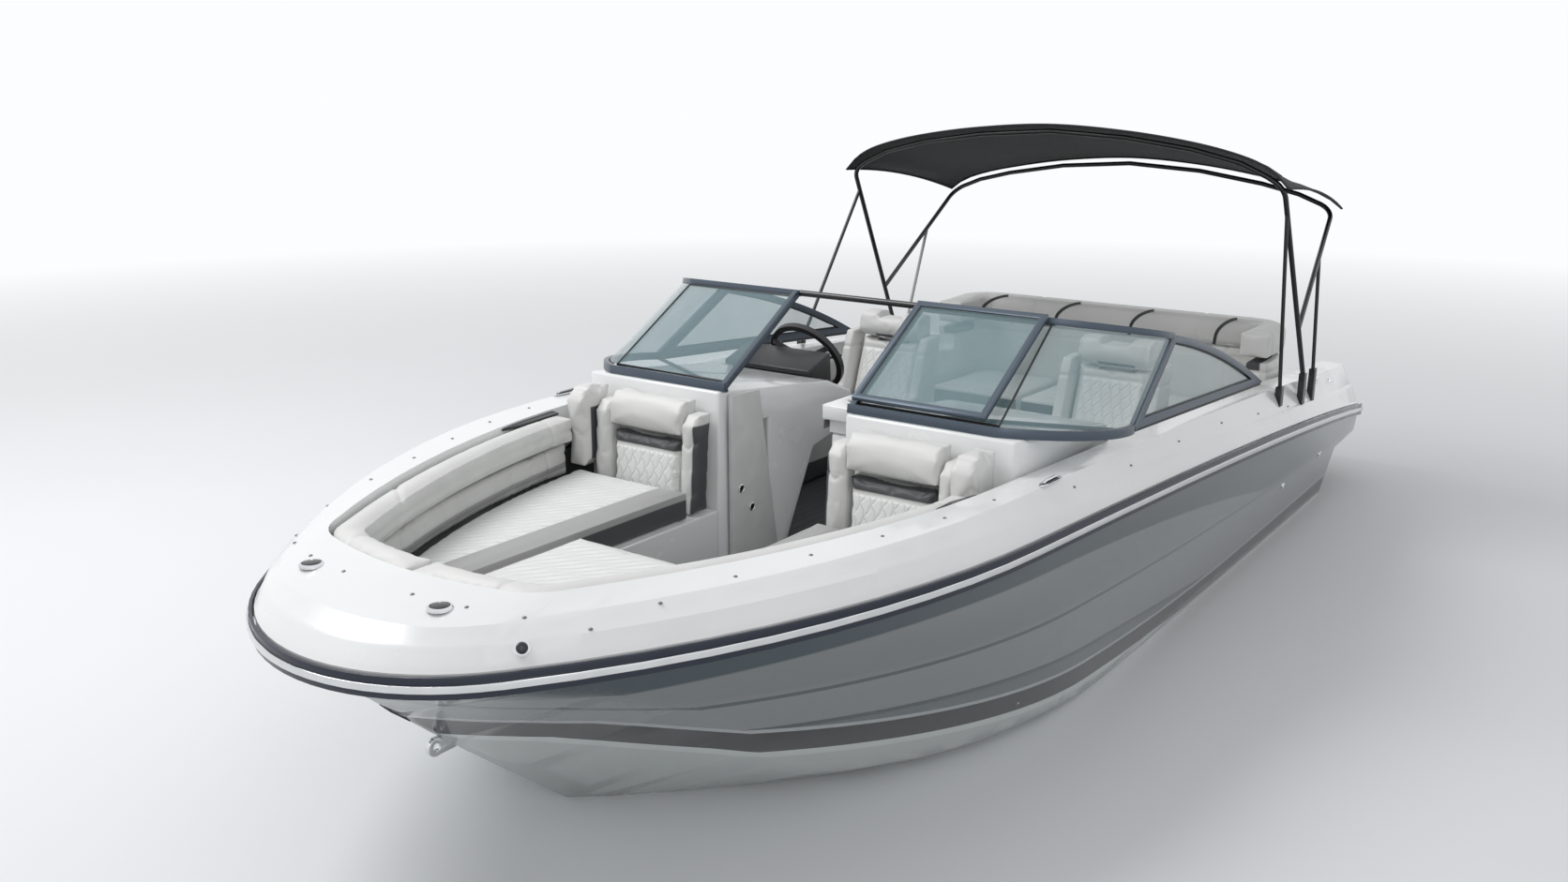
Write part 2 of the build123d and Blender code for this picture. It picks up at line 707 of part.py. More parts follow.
with BuildPart() as bench_cushion:
    for y0, y1 in zip(SPLITS, SPLITS[1:]):
        aft_x = BACK_AFT_X + BACK_T + 6
        add(slab(aft_x, BENCH_FRONT_X + 15, y0 + 3, y1 - 3, BENCH_TOP_Z - CUSHION_T + 1, BENCH_TOP_Z))
    aft_edges = bench_cushion.edges().filter_by(Axis.Z).group_by(Axis.X)[0].sort_by(Axis.Y)
    fillet((aft_edges[0], aft_edges[-1]), BACK_CORNER_R - BACK_T - 6)
save(bench_cushion.part, "aft_bench_cushion")


def wrap_sketch(front_x, thick, grow):
    """Draw the U of the aft back in plan, as a sketch for the current part."""
    outer_y = BACK_OUT_Y + grow
    aft_x = BACK_AFT_X - grow
    with BuildSketch(mode=Mode.PRIVATE) as wrap:
        for edge, mode in ((0.0, Mode.ADD), (thick, Mode.SUBTRACT)):
            with BuildSketch(mode=mode):
                with BuildLine():
                    FilletPolyline(
                        (front_x, outer_y - edge),
                        (aft_x + edge, outer_y - edge),
                        (aft_x + edge, -outer_y + edge),
                        (front_x, -outer_y + edge),
                        radius=BACK_CORNER_R - edge,
                    )
                    Line((front_x, -outer_y + edge), (front_x, outer_y - edge))
                make_face()
    return wrap.sketch


with BuildPart() as aft_back:
    with BuildSketch(Plane.XY.offset(BENCH_TOP_Z - CUSHION_T + 2)):
        add(wrap_sketch(ARM_FRONT_X, BACK_T, 0.0))
    extrude(amount=ROLL_Z[0] - 6 - (BENCH_TOP_Z - CUSHION_T + 2))
    add(slab(ROLL_FRONT_X, 0, -1200, 1200, ARM_TOP_Z, 1300), mode=Mode.SUBTRACT)
    with BuildSketch(Plane.XY.offset(ROLL_Z[0])):
        add(wrap_sketch(ROLL_FRONT_X, ROLL_T, 12.0))
    extrude(amount=ROLL_Z[1] - ROLL_Z[0])
aft_back_part = aft_back.part
save(aft_back_part, "aft_backrest")

with BuildPart() as engine:
    add(slab(ENGINE["x0"], ENGINE["x1"], -ENGINE["half_y"], ENGINE["half_y"], ENGINE["z0"], ENGINE["z1"]))
save(engine.part, "engine_block")

# Stern deck round the hatch opening
STERN_HALF_Y = 930.0
with BuildPart() as stern_deck:
    with BuildSketch(Plane.XY.offset(HATCH_Z - 60)):
        with BuildLine():
            closed_outline(squared_plan(**OPENING_EDGE, inset=GAP), TRANSOM_X)
        make_face()
    extrude(amount=30)
    add(slab(HATCH_FRONT_X + 20, AHEAD_X, -1500, 1500, 0, 2000), mode=Mode.SUBTRACT)
    add(slab(TRANSOM_X, TRANSOM_X + 28, -STERN_HALF_Y, STERN_HALF_Y, PLATFORM_TOP, HATCH_Z - 60))
    well_y = HATCH_HALF_Y - 40
    add(slab(HATCH_AFT_X + 40, HATCH_FRONT_X - 30, -well_y, well_y, 400, 900), mode=Mode.SUBTRACT)
stern_part = stern_deck.part - hull.part - aft_back_part
save(stern_part, "stern_deck")
with BuildPart() as hatch:
    add(slab(HATCH_AFT_X, HATCH_FRONT_X, -HATCH_HALF_Y, HATCH_HALF_Y, HATCH_Z - 29, HATCH_Z))
save(hatch.part, "engine_hatch")
with BuildPart() as sunpad:
    pad_y = HATCH_HALF_Y - 15
    add(slab(HATCH_AFT_X + 20, HATCH_FRONT_X - 10, -pad_y, pad_y, HATCH_Z, HATCH_Z + 75))
save(sunpad.part, "sunpad")


def bar(start, end, width, thick, facing=(1, 0, 0)):
    """Straight bar of rectangular section from start to end."""
    run = Vector(*end) - Vector(*start)
    plane = Plane(origin=start, x_dir=Vector(*facing).cross(run), z_dir=run)
    with BuildPart() as piece:
        with BuildSketch(plane):
            Rectangle(width, thick)
        extrude(amount=run.length)
    return piece.part


# Windshield: base and head lines lie in two leaning planes
def lean_plane(inner, outer):
    """Plane through the athwart line at inner that also holds outer."""
    run = Vector(inner[0] - outer[0], 0, inner[2] - outer[2]).normalized()
    return Plane(origin=(inner[0], 0, inner[2]), x_dir=run, z_dir=run.cross(Vector(0, 1, 0)))


FOOT_PLANE = lean_plane(GLASS_FOOT_IN, GLASS_FOOT_OUT)
HEAD_PLANE = lean_plane(GLASS_HEAD_IN, GLASS_HEAD_OUT)
CORNER_Y = 0.70


def pane_strip(inner, outer, thick, side):
    """Strip that follows the pane's plan: straight inboard, round at the corner."""
    back = -hypot(inner[0] - outer[0], inner[2] - outer[2])
    straight_y = inner[1] + (outer[1] - inner[1]) * CORNER_Y
    mid = (back * 0.30, outer[1] - (outer[1] - straight_y) * 0.26)
    half = thick / 2
    Line((half, side * inner[1]), (half, side * straight_y))
    ThreePointArc(
        (half, side * straight_y),
        (mid[0] + half * 0.7, side * (mid[1] + half * 0.7)),
        (back, side * (outer[1] + half)),
    )
    Line((back, side * (outer[1] + half)), (back, side * (outer[1] - half)))
    ThreePointArc(
        (back, side * (outer[1] - half)),
        (mid[0] - half * 0.7, side * (mid[1] - half * 0.7)),
        (-half, side * straight_y),
    )
    Line((-half, side * straight_y), (-half, side * inner[1]))
    Line((-half, side * inner[1]), (half, side * inner[1]))


def front_pane(thick, side):
    """Curved pane from the foot plane up to the head plane."""
    with BuildPart() as pane:
        with BuildSketch(FOOT_PLANE):
            with BuildLine():
                pane_strip(GLASS_FOOT_IN, GLASS_FOOT_OUT, thick, side)
            make_face()
        with BuildSketch(HEAD_PLANE):
            with BuildLine():
                pane_strip(GLASS_HEAD_IN, GLASS_HEAD_OUT, thick, side)
            make_face()
        loft(ruled=True)
    return pane.part


def edge_rail(plane, inner, outer, side, low, high):
    """Rail along the foot or head of a front pane."""
    with BuildPart() as rail:
        with BuildSketch(plane.offset(low)):
            with BuildLine():
                pane_strip(inner, outer, FRAME_T, side)
            make_face()
        extrude(amount=high - low)
    return rail.part


def side_plane(side):
    """Plane of the side pane: foot, head and tail corners."""
    foot = Vector(GLASS_FOOT_OUT[0], side * GLASS_FOOT_OUT[1], GLASS_FOOT_OUT[2])
    head = Vector(GLASS_HEAD_OUT[0], side * GLASS_HEAD_OUT[1], GLASS_HEAD_OUT[2])
    tail = Vector(GLASS_TAIL[0], side * GLASS_TAIL[1], GLASS_TAIL[2])
    along = (tail - foot).normalized()
    normal = along.cross(head - foot).normalized()
    plane = Plane(origin=foot, x_dir=along, z_dir=normal)
    return plane, plane.to_local_coords(head), plane.to_local_coords(tail)


def side_outline(head, tail):
    """Three-cornered side pane with a curved top edge."""
    crown = Vector((head.X + tail.X) / 2, head.Y * 0.62, 0)
    Line((0, 0), (tail.X, tail.Y))
    ThreePointArc((tail.X, tail.Y), (crown.X, crown.Y), (head.X, head.Y))
    Line((head.X, head.Y), (0, 0))


RAIL_UP = 20.0
RAIL_DOWN = 16.0
POST_W = 34.0
POST_IN_W = 28.0
frames = []
panes = []
for side in (1, -1):
    plane, head, tail = side_plane(side)
    with BuildPart() as side_frame:
        with BuildSketch(plane.offset(-FRAME_T / 2)):
            with BuildLine():
                side_outline(head, tail)
            make_face()
        extrude(amount=FRAME_T)
        with BuildSketch(plane.offset(-FRAME_T)):
            with BuildLine():
                side_outline(head, tail)
            make_face()
            offset(amount=-FRAME_W, mode=Mode.REPLACE)
        extrude(amount=FRAME_T * 2, mode=Mode.SUBTRACT)
    with BuildPart() as side_glass:
        with BuildSketch(plane.offset(-GLASS_T / 2)):
            with BuildLine():
                side_outline(head, tail)
            make_face()
            offset(amount=-FRAME_W - GLASS_GAP, mode=Mode.REPLACE)
        extrude(amount=GLASS_T)
    posts = [
        bar(
            (GLASS_FOOT_IN[0] - 4, side * (GLASS_FOOT_IN[1] + 14), GLASS_FOOT_IN[2] + 3),
            (GLASS_HEAD_IN[0] + 4, side * (GLASS_HEAD_IN[1] + 14), GLASS_HEAD_IN[2] - 3),
            POST_IN_W,
            FRAME_T,
            (0, 1, 0),
        ),
        bar(
            (GLASS_FOOT_OUT[0] - 7, side * GLASS_FOOT_OUT[1], GLASS_FOOT_OUT[2] + 4),
            (GLASS_HEAD_OUT[0] + 7, side * GLASS_HEAD_OUT[1], GLASS_HEAD_OUT[2] - 4),
            POST_W,
            FRAME_T,
            (0, 1, 0),
        ),
    ]
    foot_rail = edge_rail(FOOT_PLANE, GLASS_FOOT_IN, GLASS_FOOT_OUT, side, -14, RAIL_UP)
    head_rail = edge_rail(HEAD_PLANE, GLASS_HEAD_IN, GLASS_HEAD_OUT, side, -RAIL_DOWN, 10)
    frames.append(side_frame.part + posts[0] + posts[1] + foot_rail + head_rail)
    post_run = Vector(*GLASS_HEAD_OUT) - Vector(*GLASS_FOOT_OUT)
    across_post = Vector(0, 1, 0).cross(Vector(post_run.X, 0, post_run.Z)).normalized()
    if across_post.X < 0:
        across_post = across_post * -1
    post_edge = Plane(origin=(GLASS_FOOT_OUT[0], 0, GLASS_FOOT_OUT[2]), z_dir=across_post)
    pane = front_pane(GLASS_T, side)
    for cut, keep in (
        (FOOT_PLANE.offset(RAIL_UP + GLASS_GAP), Keep.TOP),
        (HEAD_PLANE.offset(-RAIL_DOWN - GLASS_GAP), Keep.BOTTOM),
        (post_edge.offset(POST_W / 2 + GLASS_GAP), Keep.TOP),
        (Plane.XZ.offset(-side * (GLASS_FOOT_IN[1] + POST_IN_W)), Keep.BOTTOM if side > 0 else Keep.TOP),
    ):
        pane = split(pane, bisect_by=cut, keep=keep)
    panes.append(outer_solid(pane))
    rear = split(side_glass.part, bisect_by=post_edge.offset(-POST_W / 2 - GLASS_GAP), keep=Keep.BOTTOM)
    panes.append(outer_solid(rear))

with BuildPart() as frame:
    add(frames)
frame_part = frame.part
with BuildPart() as glass:
    add(panes)
glass_part = glass.part
save(frame_part, "windshield_frame")
save(glass_part, "windshield_glass")
with BuildPart() as header:
    with BuildSketch(Plane.XZ.offset(-GLASS_HEAD_IN[1])):
        with Locations((GLASS_HEAD_IN[0] - 4, GLASS_HEAD_IN[2] - 2)):
            Circle(13)
    extrude(amount=2 * GLASS_HEAD_IN[1])
save(header.part - frame_part, "header_bar")

# Windshield door, folded open on to the port pane
pane_up = Vector(
    GLASS_HEAD_IN[0] - GLASS_FOOT_IN[0], 0, GLASS_HEAD_IN[2] - GLASS_FOOT_IN[2]
).normalized()
pane_out = Vector(0, 1, 0).cross(pane_up) * -1
if pane_out.X < 0:
    pane_out = pane_out * -1
HINGE_OUT = 26.0
DOOR_W = 556.0
door_foot = Vector(GLASS_FOOT_IN[0], GLASS_FOOT_IN[1] + 16, GLASS_FOOT_IN[2]) + pane_out * (HINGE_OUT + 12)
pane_len = hypot(GLASS_HEAD_IN[0] - GLASS_FOOT_IN[0], GLASS_HEAD_IN[2] - GLASS_FOOT_IN[2])
DOOR_LIFT = 18.0
door_plane = Plane(origin=door_foot + pane_up * DOOR_LIFT, x_dir=(0, 1, 0), z_dir=pane_out)
DOOR_L = pane_len - 2 * DOOR_LIFT
UP_SIGN = 1 if door_plane.y_dir.Z > 0 else -1
with BuildPart() as door_frame:
    with BuildSketch(door_plane.offset(-9)):
        with Locations((DOOR_W / 2, UP_SIGN * DOOR_L / 2)):
            Rectangle(DOOR_W, DOOR_L)
            Rectangle(DOOR_W - 52, DOOR_L - 52, mode=Mode.SUBTRACT)
    extrude(amount=18)
save(door_frame.part, "windshield_door_frame")
with BuildPart() as door_glass:
    with BuildSketch(door_plane.offset(-GLASS_T / 2)):
        with Locations((DOOR_W / 2, UP_SIGN * DOOR_L / 2)):
            Rectangle(DOOR_W - 52, DOOR_L - 52)
    extrude(amount=GLASS_T)
save(door_glass.part, "windshield_door_glass")

# Locker door in the aisle side of the helm console
with BuildPart() as air_door:
    with BuildSketch(Plane.XZ.offset(AISLE_Y - 20)):
        with BuildLine():
            Polyline((1115, 250), (1115, 1110), (930, 1100), (780, 250), close=True)
        make_face()
    extrude(amount=22)
save(air_door.part, "locker_door")

# Steering wheel: rim, three spokes and hub
RIM_W = 27.0
axis = Vector(-cos(radians(WHEEL_TILT)), 0, sin(radians(WHEEL_TILT)))
wheel_plane = Plane(origin=WHEEL_CENTRE, x_dir=(0, 1, 0), z_dir=axis)
with BuildPart() as wheel:
    with BuildSketch(wheel_plane):
        Circle(38)
    extrude(amount=-30)
    with BuildSketch(wheel_plane.offset(-20)):
        for angle in (90, 210, 330):
            with Locations(Rotation(0, 0, angle)):
                with Locations((WHEEL_R / 2, 0)):
                    Rectangle(WHEEL_R, 26)
    extrude(amount=9)
    with BuildSketch(wheel_plane.offset(-RIM_W / 2)):
        Circle(WHEEL_R + RIM_W / 2)
        Circle(WHEEL_R - RIM_W / 2, mode=Mode.SUBTRACT)
    extrude(amount=RIM_W)
save(wheel.part, "steering_wheel")
column_start = Vector(*WHEEL_CENTRE) - axis * 34
with BuildPart() as column:
    with BuildSketch(Plane(origin=column_start, x_dir=(0, 1, 0), z_dir=axis)):
        Circle(24)
    extrude(amount=-150)
save(column.part - helm_console.part - dash_part, "steering_column")

with BuildPart() as throttle:
    add(slab(-60, 160, -985, -925, 760, 900))
    add(slab(30, 70, -925, -900, 830, 1000))
save(throttle.part, "throttle_box")

# Swimming platform tread
TREAD = dict(x0=-3235.0, x1=-2790.0, half_y=865.0, thick=12.0, corner_r=60.0)
with BuildPart() as platform:
    with BuildSketch(Plane.XY.offset(PLATFORM_TOP)):
        with Locations(((TREAD["x0"] + TREAD["x1"]) / 2, 0)):
            RectangleRounded(TREAD["x1"] - TREAD["x0"], 2 * TREAD["half_y"], TREAD["corner_r"])
    extrude(amount=TREAD["thick"])
save(platform.part, "swim_platform")

# Sterndrive: transom shield with lugs, gimbal ring, leg and propeller
LUG_Z = 150.0
LUG_T = 26.0
with BuildPart() as shield:
    with BuildSketch(Plane.XZ):
        with BuildLine():
            Polyline(
                (TRANSOM_X - 25, 215),
                (TRANSOM_X + 60, 215),
                (TRANSOM_X + 160, -245),
                (TRANSOM_X + 75, -245),
                close=True,
            )
        make_face()
    extrude(amount=165, both=True)
    for z in (LUG_Z, -LUG_Z + 2 * TILT_Z - LUG_T):
        with BuildSketch(Plane.XY.offset(z)):
            with BuildLine():
                Polyline((STEER_X, 42), (-2600, 42), (-2600, -42), (STEER_X, -42))
                ThreePointArc((STEER_X, -42), (STEER_X - 42, 0), (STEER_X, 42))
            make_face()
        extrude(amount=LUG_T)
shield_part = outer_solid(shield.part - hull.part)
save(shield_part, "transom_shield")

RING_TOP = LUG_Z - 5
RING_LOW = -LUG_Z + 2 * TILT_Z + 5
RING_HALF_Y = 112.0
with BuildPart() as ring:
    with BuildSketch(Plane.YZ.offset(STEER_X - 20)):
        with Locations((0, TILT_Z)):
            RectangleRounded(2 * RING_HALF_Y, RING_TOP - RING_LOW, 30)
            RectangleRounded(2 * RING_HALF_Y - 56, RING_TOP - RING_LOW - 50, 24, mode=Mode.SUBTRACT)
    extrude(amount=40)
    with BuildSketch(Plane.XZ.offset(-RING_HALF_Y - 14)):
        with Locations((STEER_X, TILT_Z)):
            Circle(34)
    extrude(amount=2 * RING_HALF_Y + 28)
    with BuildSketch(Plane.XZ.offset(-RING_HALF_Y + 28)):
        with Locations((STEER_X, TILT_Z)):
            Circle(40)
    extrude(amount=2 * RING_HALF_Y - 56, mode=Mode.SUBTRACT)
save(ring.part, "gimbal_ring")

NECK_R = 66.0
NECK_HALF_Y = 66.0
PLATE_Z = -372.0
# Strut under the plate: height, middle, half length and half width
STRUT = ((PLATE_Z + 7, STEER_X - 150, 96.0, 40.0), (SHAFT_Z + 17, STEER_X - 140, 100.0, 30.0))
# Gear case: x and radius from the nose to the propeller
TORPEDO = (
    (STEER_X + 32, 0.0),
    (STEER_X + 29, 12.0),
    (STEER_X + 18, 26.0),
    (STEER_X - 10, 42.0),
    (STEER_X - 50, 52.0),
    (STEER_X - 100, 56.0),
    (STEER_X - 190, 56.0),
    (PROP_X + 5, 51.0),
    (PROP_X + 5, 0.0),
)
SHAFT = Axis((0, 0, SHAFT_Z), (1, 0, 0))
with BuildPart() as leg:
    with BuildSketch(Plane.XZ):
        with Locations((STEER_X, TILT_Z)):
            Circle(NECK_R)
    extrude(amount=NECK_HALF_Y, both=True)
    with BuildSketch(Plane.XZ):
        with BuildLine():
            Polyline(
                (STEER_X - 30, TILT_Z + 20),
                (STEER_X - 205, TILT_Z + 80),
                (STEER_X - 250, TILT_Z + 50),
                (STEER_X - 265, TILT_Z - 120),
                (STEER_X - 235, PLATE_Z + 4),
                (STEER_X - 80, PLATE_Z + 4),
                (STEER_X - 78, TILT_Z - 125),
                (STEER_X - 30, TILT_Z - 45),
                close=True,
            )
        make_face()
    extrude(amount=62, both=True)
    with BuildSketch(Plane.XY.offset(PLATE_Z)):
        with BuildLine():
            Polyline((STEER_X - 45, 40), (STEER_X - 160, 95), (STEER_X - 390, 80))
            ThreePointArc((STEER_X - 390, 80), (STEER_X - 425, 0), (STEER_X - 390, -80))
            Polyline((STEER_X - 390, -80), (STEER_X - 160, -95), (STEER_X - 45, -40))
            Line((STEER_X - 45, -40), (STEER_X - 45, 40))
        make_face()
    extrude(amount=10)
    for z, mid_x, half_l, half_w in STRUT:
        with BuildSketch(Plane.XY.offset(z)):
            with BuildLine():
                Polyline(
                    (mid_x + half_l, 0),
                    (mid_x + half_l * 0.7, half_w * 0.75),
                    (mid_x, half_w),
                    (mid_x - half_l * 0.6, half_w * 0.6),
                    (mid_x - half_l, 0),
                    (mid_x - half_l * 0.6, -half_w * 0.6),
                    (mid_x, -half_w),
                    (mid_x + half_l * 0.7, -half_w * 0.75),
                    close=True,
                )
            make_face()
    loft(ruled=True)
    with BuildSketch(Plane.XY.offset(SHAFT_Z)):
        with BuildLine():
            Polyline(*TORPEDO, close=True)
        make_face()
    revolve(axis=SHAFT)
    with BuildSketch(Plane.XZ):
        with BuildLine():
            Polyline(
                (STEER_X - 105, SHAFT_Z - 30),
                (STEER_X - 165, SHAFT_Z - 185),
                (STEER_X - 245, SHAFT_Z - 185),
                (STEER_X - 230, SHAFT_Z - 30),
                close=True,
            )
        make_face()
    extrude(amount=7, both=True)
save(leg.part, "drive_leg")

# Blade sections out from the hub: radius, chord, thickness, twist
BLADE = ((40.0, 92.0, 15.0, 58.0), (115.0, 150.0, 8.0, 36.0), (PROP_R, 62.0, 3.0, 25.0))
BLADE_COUNT = 3
HUB_L = 118.0
with BuildPart() as propeller:
    for x, radius in ((PROP_X, 54.0), (PROP_X - HUB_L, 44.0)):
        with BuildSketch(Plane.YZ.offset(x)):
            with Locations((0, SHAFT_Z)):
                Circle(radius)
    loft(ruled=True)
    for i in range(BLADE_COUNT):
        turn = radians(360 / BLADE_COUNT * i)
        out = Vector(0, sin(turn), cos(turn))
        side_dir = Vector(0, cos(turn), -sin(turn))
        for radius, chord, thick, twist in BLADE:
            chord_dir = Vector(1, 0, 0) * cos(radians(twist)) + side_dir * sin(radians(twist))
            origin = Vector(PROP_X - HUB_L * 0.48, 0, SHAFT_Z) + out * radius
            with BuildSketch(Plane(origin=origin, x_dir=chord_dir, z_dir=out)):
                with BuildLine():
                    half = chord / 2
                    Polyline((half, 0), (0, thick / 2), (-half, 0), (0, -thick / 2), close=True)
                make_face()
        loft(ruled=True)
save(propeller.part, "propeller")

# Bow eye on the stem: a ring on a shank whose end follows the stem
EYE = (2885.0, 405.0)
EYE_R = 30.0
EYE_BORE_R = 12.0
EYE_HALF_T = 8.0
SHANK_HALF_Z = 28.0
SHANK_END = ((2872.0, 433.0), (2835.0, 398.0), (2810.0, 377.0))
with BuildPart() as bow_eye:
    with BuildSketch(Plane.XZ):
        with Locations(EYE):
            Circle(EYE_R)
        with BuildLine():
            Polyline(
                (EYE[0], EYE[1] + SHANK_HALF_Z),
                *SHANK_END,
                (EYE[0], EYE[1] - SHANK_HALF_Z),
                close=True,
            )
        make_face()
        with Locations(EYE):
            Circle(EYE_BORE_R, mode=Mode.SUBTRACT)
    extrude(amount=EYE_HALF_T, both=True)
save(bow_eye.part, "bow_eye")

# Sun top: tube bows, struts and canopy
def tube_path(points, radius, tube_r):
    """Round tube along straight runs with rounded corners."""
    with BuildPart() as tube:
        with BuildLine() as path:
            if radius:
                FilletPolyline(*points, radius=radius)
            else:
                Polyline(*points)
        start = path.line @ 0
        with BuildSketch(Plane(origin=start, z_dir=path.line % 0)):
            Circle(tube_r)
        sweep()
    return tube.part


# Front and rear edge of the canopy from the crown out: y, z
FRONT_ARCH = (
    (0.0, 2117.0),
    (400.0, 2094.0),
    (740.0, 2048.0),
    (980.0, 1992.0),
    (1110.0, 1935.0),
    (1192.0, 1858.0),
)
REAR_ARCH = (
    (0.0, 1912.0),
    (410.0, 1886.0),
    (760.0, 1832.0),
    (960.0, 1786.0),
    (1075.0, 1742.0),
    (1150.0, 1690.0),
)
FRONT_X = -1065.0
REAR_X = -2160.0
CANOPY_T = 8.0
TUBE_DROP = CANOPY_T + TUBE_R + 20
TUBE_IN = 34.0
LEG_FOOT = (-1600.0, 1185.0, 905.0)
LEG_FOOT_BASE = 760.0
FOOT_GAP = 1.5
FRONT_CORNER = (FRONT_X - TUBE_IN, 1158.0, 1848.0)
REAR_CORNER = (REAR_X + TUBE_IN, 1108.0, 1672.0)
HINGE_SHARE = 0.27
BEND_R = 90.0


def arch_points(x, arch):
    """Bow points just inside one edge of the canopy, port corner to starboard corner."""
    inner = [(x, y - TUBE_IN * y / TOP_HALF_Y, z - TUBE_DROP) for y, z in arch[1:-1]]
    crown = (x, 0.0, arch[0][1] - TUBE_DROP)
    return [*reversed(inner), crown, *[(px, -py, pz) for px, py, pz in inner]]


def across(point):
    """The same point on the other side."""
    return (point[0], -point[1], point[2])


def along_line(start, end, share):
    """Point at a share of the way from start to end."""
    return tuple(a + (b - a) * share for a, b in zip(start, end))


hinge_point = along_line(LEG_FOOT, FRONT_CORNER, HINGE_SHARE)


def bow_path(foot, corner, arch):
    """Path of one bow from its port foot over the boat to the other side."""
    return [foot, corner, *arch_points(corner[0], arch), across(corner), across(foot)]


front_bow = tube_path(bow_path(LEG_FOOT, FRONT_CORNER, FRONT_ARCH), BEND_R, TUBE_R)
rear_bow = tube_path(bow_path(hinge_point, REAR_CORNER, REAR_ARCH), BEND_R, TUBE_R)
with BuildPart() as top_bows:
    add(front_bow)
    add(rear_bow - front_bow)
save(top_bows.part, "top_bows")

# Struts: foot, bottom of the foot's bracket and head; the starboard front one stands further forward
FRONT_HEAD = along_line(LEG_FOOT, FRONT_CORNER, 0.88)
REAR_HEAD = along_line(hinge_point, REAR_CORNER, 0.60)
STRUTS = (
    ((-1225.0, 1185.0, 905.0), 822.0, FRONT_HEAD),
    ((-650.0, -1192.0, 950.0), 894.0, across(FRONT_HEAD)),
    ((-1850.0, 1165.0, 885.0), 727.0, REAR_HEAD),
    ((-1690.0, -1165.0, 895.0), 769.0, across(REAR_HEAD)),
)
with BuildPart() as top_struts:
    for foot, _, head in STRUTS:
        add(tube_path((foot, head), 0, 9) - front_bow - rear_bow)
save(top_struts.part, "top_struts")
with BuildPart() as feet:
    leg_feet = ((LEG_FOOT, LEG_FOOT_BASE), (across(LEG_FOOT), LEG_FOOT_BASE))
    for (x, y, z), base in (*leg_feet, *[(foot, base) for foot, base, _ in STRUTS]):
        add(slab(x - 22, x + 22, y - 14, y + 14, base, z + 12))
    add(Pos(0, 0, FOOT_GAP) * deck.part, mode=Mode.SUBTRACT)
    add((top_bows.part, top_struts.part), mode=Mode.SUBTRACT)
save(feet.part, "top_feet")

# Canopy: one sheet from the front arch to the rear one, its side edges raised between
MID_X = (FRONT_X + REAR_X) / 2
SAG = 10.0
EDGE_LIFT = 45.0
mid_arch = [((fy + ry) / 2, (fz + rz) / 2 - SAG) for (fy, fz), (ry, rz) in zip(FRONT_ARCH, REAR_ARCH)]
mid_arch[-1] = (mid_arch[-1][0] + 8, mid_arch[-1][1] + EDGE_LIFT)
with BuildPart() as canopy:
    for x, arch in ((FRONT_X, FRONT_ARCH), (MID_X, mid_arch), (REAR_X, REAR_ARCH)):
        over = [(-y, z) for y, z in reversed(arch)] + list(arch[1:])
        under = [(y * (1 - CANOPY_T / TOP_HALF_Y), z - CANOPY_T) for y, z in over]
        with BuildSketch(Plane.YZ.offset(x)):
            with BuildLine():
                Polyline(*over, *reversed(under), close=True)
            make_face()
    loft(ruled=True)
save(canopy.part, "canopy")

# Deck fittings: cleats and lights
with BuildPart() as fittings:
    for x, y in ((3055.0, 280.0), (3055.0, -280.0)):
        with Locations((x, y, 975)):
            Cylinder(36, 12, align=(Align.CENTER, Align.CENTER, Align.MIN))
    for side in (1, -1):
        with Locations((1170.0, side * 1138.0, 1013.0)):
            Box(150, 30, 16, align=(Align.CENTER, Align.CENTER, Align.MIN))
save(fittings.part, "deck_fittings")
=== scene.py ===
"""Finishes and soft goods of an open-bow motorboat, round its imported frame.

Metres. +X points to the bow, +Y to port and +Z up, with the waterline at zero.
"""
import json
import math

import bmesh
import bpy
import numpy as np
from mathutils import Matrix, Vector
from mathutils.bvhtree import BVHTree

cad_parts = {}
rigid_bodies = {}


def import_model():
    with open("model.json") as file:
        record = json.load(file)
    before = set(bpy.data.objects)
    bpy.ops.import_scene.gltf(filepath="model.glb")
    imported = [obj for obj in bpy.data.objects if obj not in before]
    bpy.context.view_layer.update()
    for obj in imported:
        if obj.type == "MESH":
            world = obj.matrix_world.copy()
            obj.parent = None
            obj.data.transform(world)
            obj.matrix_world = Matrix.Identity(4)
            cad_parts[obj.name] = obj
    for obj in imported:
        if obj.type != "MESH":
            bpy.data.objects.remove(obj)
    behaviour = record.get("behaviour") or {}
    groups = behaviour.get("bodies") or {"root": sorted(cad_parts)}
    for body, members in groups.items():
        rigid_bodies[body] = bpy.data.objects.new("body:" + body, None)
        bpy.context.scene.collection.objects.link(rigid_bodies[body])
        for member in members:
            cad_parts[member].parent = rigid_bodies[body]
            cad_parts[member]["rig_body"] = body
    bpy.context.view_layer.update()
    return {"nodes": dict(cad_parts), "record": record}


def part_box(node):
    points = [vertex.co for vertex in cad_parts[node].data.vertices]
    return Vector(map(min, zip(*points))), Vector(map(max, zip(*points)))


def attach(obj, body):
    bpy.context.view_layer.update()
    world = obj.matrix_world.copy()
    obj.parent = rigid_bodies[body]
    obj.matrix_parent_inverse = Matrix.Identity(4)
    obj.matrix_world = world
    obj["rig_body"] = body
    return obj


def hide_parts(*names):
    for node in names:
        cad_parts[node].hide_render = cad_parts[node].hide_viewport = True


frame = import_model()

# Camera: where the photograph was taken from, and its lens for a 36 mm sensor
CAMERA_PLACE = (5.222, 3.001, 2.32)
CAMERA_DOWN = 14.914
CAMERA_HEADING = 126.27
CAMERA_LENS = 31.12


